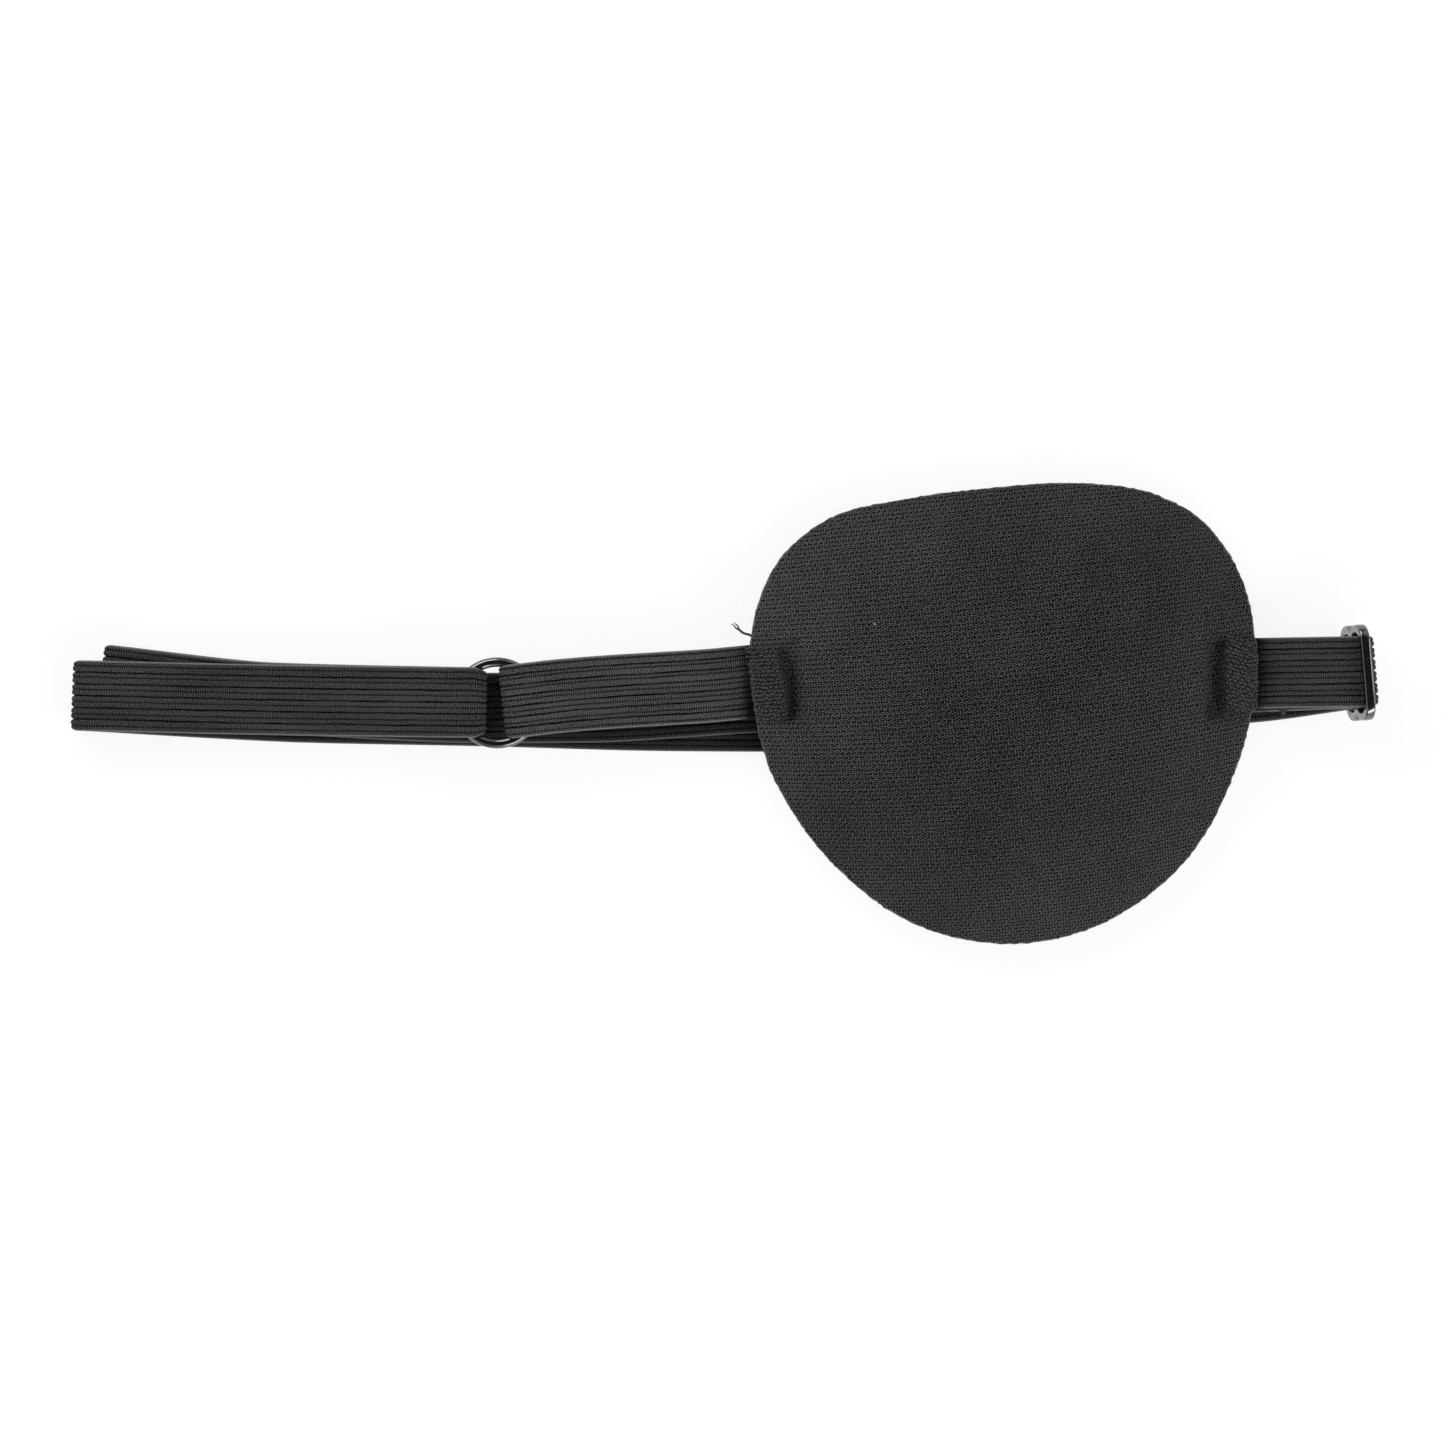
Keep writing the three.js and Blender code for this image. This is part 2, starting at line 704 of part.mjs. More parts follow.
// The seam that holds the folded-back end: a thread over it and a thread under the leg below
function buildEndSeam(group) {
  const radius = threadDiameter / 2;
  const x = sewnEndX + endSeamInset + endSeamLength / 2;
  const y = upperRun.lateral(x);
  const flat = serpentinePoints(x, y, endSeamLength, strapWidth - 2 * stitchPitch, seamTurnSteps);
  const needleZ = seamEndZ + halfStrap + layerGap + radius;
  const bobbinZ = seamLegZ - halfStrap - layerGap - radius;
  const needle = flat.map(([px, py]) => new THREE.Vector3(px, py, needleZ));
  const bobbin = flat.map(([px, py]) => new THREE.Vector3(px, py, bobbinZ));
  addMesh(group, "end_seam_needle_thread", threadGeometry(needle), thread);
  addMesh(group, "end_seam_bobbin_thread", threadGeometry(bobbin), thread);
}

// Half the slider's outline: one loop's round ends and its outer bar, for the upper or lower loop
function addLoopOutline(shape, way) {
  const radius = slotCornerRadius + sliderBar;
  const cornerX = sliderSlotWidth / 2 + sliderBar - radius;
  const lowCornerY = radius - sliderBar / 2;
  const highCornerY = sliderLength / 2 - radius;
  const notch = Math.asin(lowCornerY / radius);
  const start = way > 0 ? 0 : Math.PI;
  shape.absarc(way * cornerX, way * lowCornerY, radius, start - notch, start);
  shape.absarc(way * cornerX, way * highCornerY, radius, start, start + Math.PI / 2);
  shape.absarc(-way * cornerX, way * highCornerY, radius, start + Math.PI / 2, start + Math.PI);
  shape.absarc(-way * cornerX, way * lowCornerY, radius, start + Math.PI, start + Math.PI + notch);
}

function slotPath(way) {
  const middleY = way * (sliderBar + sliderSlot) / 2;
  const cornerX = sliderSlotWidth / 2 - slotCornerRadius;
  const cornerY = sliderSlot / 2 - slotCornerRadius;
  const path = new THREE.Path();
  const corners = [
    [cornerX, cornerY],
    [-cornerX, cornerY],
    [-cornerX, -cornerY],
    [cornerX, -cornerY],
  ];
  corners.forEach(([x, y], index) => {
    const start = (index * Math.PI) / 2;
    path.absarc(x, middleY + y, slotCornerRadius, start, start + Math.PI / 2);
  });
  path.closePath();
  return path;
}

function buildSlider(group) {
  const shape = new THREE.Shape();
  addLoopOutline(shape, 1);
  addLoopOutline(shape, -1);
  shape.closePath();
  shape.holes.push(slotPath(1), slotPath(-1));
  const geometry = new THREE.ExtrudeGeometry(shape, {
    depth: sliderThickness - 2 * sliderBevel,
    bevelSize: sliderBevel,
    bevelThickness: sliderBevel,
    bevelOffset: -sliderBevel,
    bevelSegments: sliderBevelSteps,
    curveSegments: sliderCornerSteps,
  });
  geometry.translate(0, 0, sliderBevel - sliderThickness / 2);
  const upright = new THREE.Matrix4().makeBasis(
    new THREE.Vector3(0, 1, 0),
    new THREE.Vector3(0, 0, 1),
    new THREE.Vector3(1, 0, 0),
  );
  geometry.applyMatrix4(upright);
  const slider = addMesh(group, "slider", geometry, blackMetal);
  slider.position.set(sliderX, sliderY, sliderZ);
  slider.rotation.set(0, sliderLean, sliderTurn, "ZYX");
}

const group = new THREE.Group();
const faceCloth = buildPatch(group);
buildTack(group, "left", leftTack, faceCloth, looseTail);
buildTack(group, "right", rightTack, faceCloth, () => []);
buildTab(group);
buildRing(group);
buildRingLoop(group);
buildLeftFolds(group);
buildRuns(group);
buildSliderFold(group);
buildSewnEnd(group);
buildEndSeam(group);
buildSlider(group);

const box = new THREE.Box3().setFromObject(group, true);
const middle = box.getCenter(new THREE.Vector3());
group.position.set(-middle.x, -middle.y, -box.min.z);

export default group;
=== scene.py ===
import math
import random

import bmesh
import bpy
import numpy as np
from mathutils import Matrix, Vector, noise


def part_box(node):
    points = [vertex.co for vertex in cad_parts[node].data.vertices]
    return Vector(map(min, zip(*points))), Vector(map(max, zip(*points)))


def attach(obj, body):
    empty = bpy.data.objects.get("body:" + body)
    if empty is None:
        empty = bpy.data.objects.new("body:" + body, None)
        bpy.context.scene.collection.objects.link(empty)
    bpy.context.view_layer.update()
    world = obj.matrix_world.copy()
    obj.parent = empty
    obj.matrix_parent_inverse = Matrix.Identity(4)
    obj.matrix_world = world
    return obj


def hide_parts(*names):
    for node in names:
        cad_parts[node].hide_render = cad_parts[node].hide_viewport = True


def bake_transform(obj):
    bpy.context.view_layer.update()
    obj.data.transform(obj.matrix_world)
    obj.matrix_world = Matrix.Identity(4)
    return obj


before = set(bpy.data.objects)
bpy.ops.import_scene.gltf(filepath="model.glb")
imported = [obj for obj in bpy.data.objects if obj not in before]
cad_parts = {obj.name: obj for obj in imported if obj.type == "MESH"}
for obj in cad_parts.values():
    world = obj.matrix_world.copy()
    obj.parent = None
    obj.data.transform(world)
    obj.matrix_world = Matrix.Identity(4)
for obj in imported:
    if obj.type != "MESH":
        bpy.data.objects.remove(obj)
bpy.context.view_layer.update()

# The looks of an eye patch on an adjustable elastic strap, laid face up on a white table.
# Lengths are millimetres from the middle of the patch. MM makes them metres.
MM = 0.001

# Elastic strap and tab: round ribs, each with a crease along its crest, knitted in chains
STRAP_WIDTH = 12.0
STRAP_THICKNESS = 1.0
LAYER_GAP = 0.25
STRAP_RIBS = 6
TAB_RIBS = 7
RIB_RELIEF = 0.26
RIB_CREASE = 0.12
RIB_CREASE_SHARE = 0.22
EDGE_SPREAD = 0.15
TAB_EDGE_SPREAD = 0.4
RIB_POINT_SHARES = (-1, -0.82, -0.5, -0.2, 0, 0.2, 0.5, 0.82)
FLAT_STEP = 2.0
CLIMB_STEP = 1.0
HEADING_REACH = 2.0
FOLD_STEPS = 18
FOLD_CORNER_DRAW = 0.12
FOLD_CORNER_SHARE = 0.8
FOLD_GROOVE_SHARE = 1.2
# Painted shade on the straps: how far it reaches out from the patch's rim, and how much of it the
# low runs get
TUCK_REACH = 1.9
UNDER_RUN_SHADE = 0.4

# Patch: knitted face, foam and lining, cut as one outline and domed
PATCH_WIDTH = 87.4
PATCH_HEIGHT = 80.2
FACE_THICKNESS = 0.5
FOAM_THICKNESS = 1.6
LINING_THICKNESS = 0.4
BOND_GAP = 0.02
HOLLOW_HEIGHT = 9.0
RIM_CLEARANCE = 0.3
DOME_POWER = 2.4
RIM_LIFT_WIDTH = 15.0
EDGE_WOBBLE = 0.22
EDGE_WOBBLE_SIZE = 0.9
RIM_SPREAD = 0.16
SURFACE_WOBBLE = 0.16
SURFACE_WOBBLE_SIZE = 9.0
# The cut edge is lighter, partly its cut yarn and partly a painted highlight: how far in that
# reaches, how much it dims over the tacks, and how it fades past them
CUT_EDGE_SHARE = 0.007
CUT_EDGE_DIMMING = 0.8
CUT_FADE = 1.0
OUTLINE_STEPS = 480
RING_CROWDING = 1.35
RIM_STEPS = OUTLINE_STEPS // 2
LAYERS = (
    {"name": "face_knit", "node": "face_cloth", "steps": OUTLINE_STEPS, "rings": 84, "seed": 0},
    {"name": "foam_laminate", "node": "foam_core", "steps": RIM_STEPS, "rings": 40, "seed": 3},
    {"name": "lining_knit", "node": "lining_cloth", "steps": RIM_STEPS, "rings": 56, "seed": 6},
)

# Knit: pitch of its stitches and rows, and how the cloth was drawn askew over the dome
KNIT_WALE = 1.036
KNIT_ROW = 0.807
KNIT_LEAN = 0.098
KNIT_SLOPE = 0.111
KNIT_SPREAD_X = 167.0
KNIT_SPREAD_Y = 127.0
KNIT_DRAWN_Y = 480.0
KNIT_BEND_SIZE = 800.0
KNIT_BEND_REACH = 32.0

# The outline as shares of half the width and half the height, round from the right
OUTLINE_SHARES = (
    (1, 0.12),
    (0.964, 0.561),
    (0.813, 0.822),
    (0.594, 0.955),
    (0.276, 0.996),
    (-0.042, 0.974),
    (-0.36, 0.93),
    (-0.678, 0.843),
    (-0.889, 0.648),
    (-0.992, 0.33),
    (-0.968, -0.048),
    (-0.889, -0.309),
    (-0.662, -0.657),
    (-0.336, -0.917),
    (0.038, -1),
    (0.396, -0.917),
    (0.722, -0.657),
    (0.912, -0.309),
)

# Tacks that sew the tab and the long strap under the patch
TACK_LENGTH = 5.8
TACK_INSET = 1.2
TACK_OVERHANG = 0.7
SQUEEZED_FOAM = 0.8
THINNEST_FOAM = 0.1
PUCKER_WIDTH = 2.1
LEFT_TACK_SHARE = 0.42
RIGHT_TACK_SHARE = 0.545
LEFT_RIDGE_INSETS = (0.4, 5.9)
RIGHT_RIDGE_INSETS = (5.1, -0.4)
LEFT_RIDGE_SLANT_SHARE = 0.19
LEFT_RIDGE_BOW = 1.1
RIGHT_RIDGE_BOW = 0.7
VALLEY_WIDTH = 1.05
VALLEY_DROP = 0.95
VALLEY_SETBACK_SHARE = 0.6
VALLEY_SIDE_SHARE = 0.8
SEWN_CREST = 0.8
CREST_POWER = 0.7
SKIRT_REACH = 0.75
SKIRT_HALF_WIDTH = 5.2
SKIRT_FADE = 1.6
GATHER_HEIGHT = 0.25
GATHER_REACH = 9.0
GATHER_COUNT = 13
STITCH_THICKNESS = 0.34
STITCH_SINK = 0.08
STITCH_DEPTH = 0.16
STITCH_ROW = 0.68
THREAD_DIAMETER = 0.3
UNEVEN_SHARE = 0.2
UNEVEN_TURN = math.radians(11)
STITCH_SIDES = 8
STITCH_LENGTH_SHARES = (0.75, 1.15)
STITCH_GIRTH_SHARES = ((0, 0.1), (0.1, 0.7), (0.3, 1), (0.7, 1), (0.9, 0.7), (1, 0.1))

# Columns of stitches in each tack, their pitch, a stitch's length, and how far it is turned
LEFT_STITCH_GRID = (7, 0.76, 0.66)
RIGHT_STITCH_GRID = (5, 0.86, 0.85)
LEFT_STITCH_TURN = math.radians(3)
RIGHT_STITCH_TURN = math.radians(-30)

# The left tack's loose thread end, from a place on the rim, which unravels into two plies
TAIL_INSET = 0.5
TAIL_Y = 13.2
TAIL_Z = 7.6
TAIL_SIZE = 5.0
TAIL_SHARES = (
    (0, 0, 0), (-0.13, 0.072, 0.02), (-0.318, 0.124, 0.04),
    (-0.442, 0.218, 0.06), (-0.502, 0.262, 0.06),
)
PLY_SHARES = (
    ((-0.48, 0.24, 0.06), (-0.53, 0.384, 0.08), (-0.6, 0.44, 0.09), (-0.66, 0.5, 0.08)),
    ((-0.48, 0.24, 0.06), (-0.582, 0.298, 0.04), (-0.652, 0.384, 0.02), (-0.75, 0.45, 0.02)),
)
TAIL_RADII = (0.21, 0.21)
PLY_RADII = (0.169, 0.065)
YARN_STEP = 0.15

# Fibres that stand out of the patch's cut edge
FUZZ_COUNT = 420
FUZZ_LENGTH = 0.55
FUZZ_SHORTEST_SHARE = 0.3
FUZZ_RADIUS = 0.022

# Ring, and the folds that go round it
RING_BORE = 12.5
RING_WIRE = 1.7
TAB_REACH = 44.0
TAB_FOLD_PAST_RING = 0.7
STRAP_FOLD_SHORT_OF_RING = 1.7
RING_LATERAL_SHARE = 0.145
LOOP_CLEARANCE = 0.06
RING_STEPS = 160
RING_SECTION_STEPS = 32

# Long strap's folded left end
LEFT_REACH = 74.4
INNER_FOLD_SETBACK = 5.0
CLIMB_LENGTH = 14.0

# Slider: three bars and two slots, standing nearly upright in the strap
SLIDER_REACH = 18.3
SLIDER_LATERAL_SHARE = 0.58
SLIDER_THICKNESS = 1.7
SLIDER_BAR = 1.6
SLIDER_SLOT = 3.4
SLIDER_SLOT_WIDTH = 13.5
SLOT_CORNER_RADIUS = 1.3
SLIDER_EDGE_RADIUS = 0.4
SLIDER_LEAN = math.radians(12)
SLIDER_TURN = math.radians(4.9)
FOLD_RUN_OUT = 4.5
LEVEL_THROUGH_SLOTS = 1.8
SLIDER_ARC_STEPS = 10
SLIDER_ROUND_STEPS = 6

# Strap end sewn back on itself round the slider's middle bar
SEWN_END_REACH = 12.5
END_SEAM_LENGTH = 3.0
END_SEAM_INSET = 0.6
END_SEAM_PITCH = 0.9
SEAM_GRID = (3, 1.1, 1.0)
SEAM_TURN = math.radians(24)

# Raw yarn ends where the strap was cut, half of them in a tuft at one corner
FRAY_COUNT = 260
FRAY_LENGTH = 1.3
FRAY_SHORTEST_SHARE = 0.25
FRAY_RADIUS = 0.06
FRAY_TUFT_SHARE = 0.5
FRAY_TUFT_PLACE_SHARES = (0.86, 1)
FRAY_TUFT_LEANS = (-1.1, 0.1)
FRAY_LEANS = (-0.6, 0.6)
FRAY_DEPTH_SHARE = 0.7
FRAY_DROOP_SHARES = (-0.5, 0.25)
FRAY_TURN = 0.7

# Where the long strap's two halves meet, out of sight under the patch
JOIN_X = 2.0

# Where each run lies across the patch's middle line: share of the run's length from its left end,
# and share of the strap's width
LOWER_RUN_SHARES = (
    (0, 0.25), (0.113, 0.129), (0.175, 0.078), (0.309, 0.028),
    (0.458, -0.044), (0.536, -0.053), (0.917, 0.367), (1, 0.575),
)
UPPER_RUN_SHARES = (
    (0, 0.48), (0.14, 0.208), (0.315, 0.072), (0.379, 0.078),
    (0.522, 0.225), (0.915, 0.517), (1, 0.58),
)
TOP_RUN_SHARES = ((0, 0.25), (0.497, 0.188), (1, 0.15))
INNER_RUN_SHARES = ((0, 0.48), (0.457, 0.22), (1, 0.15))
TAB_SHARES = (
    (0, 0.167), (0.17, 0.246), (0.344, 0.303), (0.518, 0.347),
    (0.692, 0.39), (0.884, 0.463), (1, 0.5),
)
ANCHOR_SHARES = ((0, 0.56), (0.3, 0.575), (1, 0.595))

# One stitch of the knit: a round hole with a dark dash before it, and a crease between rows
HOLE_RADIUS = 0.27
HOLE_SHARE = 0.62
DASH_SETBACK = 0.4
DASH_FLATNESS = 0.5
DASH_RADIUS = 0.19
LOOP_REACH = 0.3
KNIT_DRIFT = 0.16
KNIT_DRIFT_SIZE = 1.6
YARN_LUMP = 0.2
ROW_LUMP = 0.7
SHADE_BREAKUP_LUMP = 0.5
CLOTH_LUMP = 11.0
GLINT_LUMP = 3.0
# Painted light on the knit, lighter towards the rim: its spread, how far its middle lies off, and
# how much more it grows to the upper left and lower right
RIM_LIGHT_SPREAD = 50.0
RIM_LIGHT_LEAN = 8.0
RIM_LIGHT_SKEW = 0.55
SPECK_PITCH = 15.0
SPECK_SHARE = 0.015

# Elastic: pitch of its cross threads, and how far from a dotted line they are seen
CHAIN_PITCH = 0.39
CHAIN_SLANT = 0.86
LINE_WIDTH = 0.24
LINE_RAGGEDNESS = 0.35
LINE_WANDER = 0.26
LINE_LUMP = 1.2
DOT_WIDTH = 0.2
HATCH_REACH = 0.65
WANDER_SIZE = 2.2
STRAP_LUMP = 5.0
# Share of the strap's width along each edge that is lighter, partly its edge yarn and partly a
# painted highlight
SELVEDGE_SHARE = 0.03
TUCKED_SHADE_SHARE = 0.92

# Share of a rib at which its dotted line lies, and how far that drifts from edge to edge
STRAP_DOT_SHARES = (0.5, 0.12)
TAB_DOT_SHARES = (0.47, 0.35)

# Lumps and cells of the other materials, depths of all the bumps, and the cloths' sheen
FOAM_CELL = 0.3
THREAD_LUMP = 0.5
ENAMEL_WAVE = 2.4
ENAMEL_MARK = 0.35
TABLE_LUMP = 30.0
CLOTH_BUMP = 0.12
CLOTH_SHEEN = {"Sheen_Weight": 0.05, "Sheen_Roughness": 0.5}
FOAM_BUMP = 0.12
THREAD_BUMP = 0.05
ENAMEL_BUMP = 0.03

# Table, world, lamps and camera. Lamps are placed and sized in metres
FLOOR_SIZE = 6.0
FLOOR_GLOW = 1.07
FLOOR_GLOW_SHARE = 0.8
AMBIENT = 0.4
OVERHEAD_TONE = 0.03
OVERHEAD_RISES = (0.45, 0.85)
ROOM_SCALE = 2.2
ROOM_TONE = 0.15
ROOM_LUMPS = (0.3, 0.6)
LAMPS = (
    {"name": "far_lamp", "place": (-0.42, 0.62, 0.42), "width": 0.8, "height": 0.25, "power": 3.9},
    {"name": "near_lamp", "place": (0.42, -0.62, 0.42), "width": 0.8, "height": 0.25, "power": 3.9},
    {"name": "side_lamp", "place": (0.8, 0.1, 0.35), "width": 0.15, "height": 0.15, "power": 0.5},
)
SENSOR_WIDTH = 36.0
CAMERA_DISTANCE = 900.0
CAMERA_AIM = (-0.18, -1.6, 5.0)
VIEW_WIDTH = 251.43

# Heights of the strap's layers, from the table up
HALF_STRAP = STRAP_THICKNESS / 2
LAYER_PITCH = STRAP_THICKNESS + LAYER_GAP
LOWER_RUN_Z = HALF_STRAP
UPPER_RUN_Z = LOWER_RUN_Z + LAYER_PITCH
INNER_RUN_Z = UPPER_RUN_Z + LAYER_PITCH
TOP_RUN_Z = INNER_RUN_Z + LAYER_PITCH
SEWN_RUN_Z = UPPER_RUN_Z + LAYER_PITCH + THREAD_DIAMETER + LAYER_GAP
DOUBLED_RUN_Z = SEWN_RUN_Z + LAYER_PITCH

LEFT_EDGE_X = -PATCH_WIDTH / 2
RIGHT_EDGE_X = PATCH_WIDTH / 2
RING_X = LEFT_EDGE_X - TAB_REACH
RING_Y = RING_LATERAL_SHARE * STRAP_WIDTH
RING_RADIUS = (RING_BORE + RING_WIRE) / 2
RING_OUTER_RADIUS = RING_RADIUS + RING_WIRE / 2
RING_Z = INNER_RUN_Z + HALF_STRAP + LAYER_GAP + RING_WIRE / 2
RING_WRAP_RADIUS = RING_WIRE / 2 + LAYER_GAP + HALF_STRAP
TAB_FOLD_X = RING_X + TAB_FOLD_PAST_RING + HALF_STRAP + RING_WRAP_RADIUS
STRAP_FOLD_X = RING_X - STRAP_FOLD_SHORT_OF_RING - HALF_STRAP - RING_WRAP_RADIUS

OUTER_FOLD_X = RING_X - LEFT_REACH + HALF_STRAP + (TOP_RUN_Z - LOWER_RUN_Z) / 2
INNER_FOLD_X = (
    RING_X - LEFT_REACH + INNER_FOLD_SETBACK + HALF_STRAP + (INNER_RUN_Z - UPPER_RUN_Z) / 2
)

SLIDER_LENGTH = 3 * SLIDER_BAR + 2 * SLIDER_SLOT
SLIDER_X = RIGHT_EDGE_X + SLIDER_REACH
SLIDER_Y = SLIDER_LATERAL_SHARE * STRAP_WIDTH
SLIDER_Z = sum(corner[2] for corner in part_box("slider")) / (2 * MM)
SEWN_LOOP_RADIUS = SLIDER_BAR / 2 + LAYER_GAP + HALF_STRAP
MAIN_LOOP_RADIUS = SEWN_LOOP_RADIUS + LAYER_PITCH
LEVEL_X = SLIDER_X - LEVEL_THROUGH_SLOTS
FOLD_END_X = SLIDER_X - FOLD_RUN_OUT
SEWN_END_X = SLIDER_X - SEWN_END_REACH
SEAM_X = SEWN_END_X + END_SEAM_INSET + END_SEAM_LENGTH / 2
SEAM_FAR_X = SEWN_END_X + END_SEAM_INSET + END_SEAM_LENGTH
SEAM_LEG_Z = LOWER_RUN_Z + LAYER_PITCH + THREAD_DIAMETER + LAYER_GAP
SEAM_END_Z = SEAM_LEG_Z + LAYER_PITCH
SEAM_CLEAR_Z = SEAM_END_Z + LAYER_PITCH + THREAD_DIAMETER + LAYER_GAP

TACK_HALF_WIDTH = STRAP_WIDTH / 2 + TACK_OVERHANG
LEFT_TACK = {
    "side": "left",
    "x": LEFT_EDGE_X + TACK_INSET + TACK_LENGTH / 2,
    "y": LEFT_TACK_SHARE * STRAP_WIDTH,
    "z": DOUBLED_RUN_Z + HALF_STRAP + LAYER_GAP,
    "inward": 1,
    "ridge": [LEFT_EDGE_X + inset for inset in LEFT_RIDGE_INSETS],
    "slant": LEFT_RIDGE_SLANT_SHARE,
    "bow": LEFT_RIDGE_BOW,
    "grid": LEFT_STITCH_GRID,
    "turn": LEFT_STITCH_TURN,
}
RIGHT_TACK = {
    "side": "right",
    "x": RIGHT_EDGE_X - TACK_INSET - TACK_LENGTH / 2,
    "y": RIGHT_TACK_SHARE * STRAP_WIDTH,
    "z": SEWN_RUN_Z + HALF_STRAP + LAYER_GAP,
    "inward": -1,
    "ridge": [RIGHT_EDGE_X - inset for inset in RIGHT_RIDGE_INSETS],
    "slant": 0,
    "bow": RIGHT_RIDGE_BOW,
    "grid": RIGHT_STITCH_GRID,
    "turn": RIGHT_STITCH_TURN,
}
TACKS = (LEFT_TACK, RIGHT_TACK)

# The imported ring's middle ties this scene's millimetres to the frame
ring_middle = (Vector(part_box("ring")[0]) + Vector(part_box("ring")[1])) / 2
ORIGIN = np.array(ring_middle) - np.array((RING_X, RING_Y, RING_Z)) * MM

CLOTH_MAP = "cloth_mm"
chance = random.Random(7)


def mix(start, end, share):
    return start + (end - start) * share


def smooth(share):
    held = np.clip(share, 0, 1)
    return held * held * (3 - 2 * held)


def bridged(start, end, leave, arrive, t):
    """A smooth way from start to end that leaves and arrives at the given slopes."""
    return (
        mix(start, end, t * t * (3 - 2 * t)) + leave * t * (1 - t) ** 2 - arrive * t * t * (1 - t)
    )


def eased_slope(pairs, index):
    """Slope of an eased line at one of its pairs: level at the ends of a flat or at a turn."""
    here = pairs[index]
    rising = leaving = None
    if index > 0:
        rising = (here[1] - pairs[index - 1][1]) / (here[0] - pairs[index - 1][0])
    if index < len(pairs) - 1:
        leaving = (pairs[index + 1][1] - here[1]) / (pairs[index + 1][0] - here[0])
    if rising is None:
        return leaving
    if leaving is None:
        return rising
    if rising * leaving <= 0:
        return 0
    return 2 * rising * leaving / (rising + leaving)


def eased(pairs, place):
    """Value at one place on a line eased through [place, value] pairs, without overshoot."""
    index = 0
    while index < len(pairs) - 2 and place > pairs[index + 1][0]:
        index += 1
    span = pairs[index + 1][0] - pairs[index][0]
    t = min(1, max(0, (place - pairs[index][0]) / span))
    leave = eased_slope(pairs, index) * span
    arrive = eased_slope(pairs, index + 1) * span
    return bridged(pairs[index][1], pairs[index + 1][1], leave, arrive, t)


class Run:
    """A stretch of strap laid along X: its line across the table, its height and its heading."""

    def __init__(self, shares, start, end, heights):
        self.shares = shares
        self.start = start
        self.end = end
        self.heights = heights

    def y(self, x):
        return eased(self.shares, (x - self.start) / (self.end - self.start)) * STRAP_WIDTH

    def z(self, x):
        return eased(self.heights, x)

    def heading(self, x):
        before = max(x - HEADING_REACH, self.start)
        after = min(x + HEADING_REACH, self.end)
        return math.atan2(self.y(after) - self.y(before), after - before)

    def stops(self, start, end):
        """Places along the run, closer together where its height changes."""
        low, high = min(start, end), max(start, end)
        keys = [low, *(x for x, _ in self.heights if low < x < high), high]
        places = [low]
        for near, far in zip(keys, keys[1:]):
            level = abs(self.z(near) - self.z(far)) < BOND_GAP
            count = math.ceil((far - near) / (FLAT_STEP if level else CLIMB_STEP))
            places += [mix(near, far, (step + 1) / count) for step in range(count)]
        if end < start:
            places.reverse()
        return [strap_stop(x, self.y(x), self.z(x), self.heading(x)) for x in places]


def strap_stop(x, y, z, heading, width=STRAP_WIDTH, out=(0, 0, 0)):
    """One place on a strap's middle line. out points away from the fold that the stop lies in."""
    side = (-math.sin(heading), math.cos(heading), 0)
    return {"place": (x, y, z), "side": side, "width": width, "out": out}


def waist_through_ring(past_middle):
    """Width that a strap can have where it folds through the ring's bore."""
    chord = math.sqrt((RING_BORE / 2) ** 2 - (past_middle + STRAP_THICKNESS) ** 2)
    return min(STRAP_WIDTH, 2 * (chord - LOOP_CLEARANCE))


# Width in the middle of each fold that goes through the ring, by the fold's place
FOLD_WAISTS = {
    TAB_FOLD_X: waist_through_ring(TAB_FOLD_PAST_RING),
    STRAP_FOLD_X: waist_through_ring(STRAP_FOLD_SHORT_OF_RING),
}


def fold_stops(entering, leaving, x, bulge):
    """A half turn of strap from one run to the next, bulging to the left or the right."""
    y, from_z, to_z = leaving.y(x), entering.z(x), leaving.z(x)
    headings = (SLIDER_TURN, SLIDER_TURN)
    if x != SLIDER_X:
        headings = (entering.heading(x), leaving.heading(x))
    waist = FOLD_WAISTS.get(x, STRAP_WIDTH)
    radius = abs(to_z - from_z) / 2
    stops = []
    for index in range(1, FOLD_STEPS):
        share = index / FOLD_STEPS
        turn = share * math.pi
        heading = mix(*headings, share)
        reach = bulge * math.sin(turn)
        out = (reach * math.cos(heading), reach * math.sin(heading), 0)
        place_z = (from_z + to_z) / 2 + math.cos(turn) * (from_z - to_z) / 2
        width = mix(STRAP_WIDTH, waist, math.sin(turn))
        stops.append(
            strap_stop(x + radius * out[0], y + radius * out[1], place_z, heading, width, out)
        )
    return stops


def strap_along(start, *legs):
    """Stops along legs of strap, each a run and where it ends, with a half turn between two."""
    stops = []
    for index, (run, end) in enumerate(legs):
        stops += run.stops(start, end)
        if index < len(legs) - 1:
            stops += fold_stops(run, legs[index + 1][0], end, math.copysign(1, end - start))
        start = end
    return stops


def rib_rise(across, ribs):
    """Half thickness of the strap at a place across it: round ribs with a crease on each crest."""
    rib_half = STRAP_WIDTH / ribs / 2
    from_edge = STRAP_WIDTH / 2 - abs(across)
    share = (from_edge % (2 * rib_half)) / rib_half - 1
    crown = math.sqrt(max(0, 1 - share * share))
    crease = RIB_CREASE * math.exp(-((share / RIB_CREASE_SHARE) ** 2))
    if from_edge < rib_half:
        return HALF_STRAP * crown - crease * crown
    return HALF_STRAP - RIB_RELIEF * (1 - crown) - crease


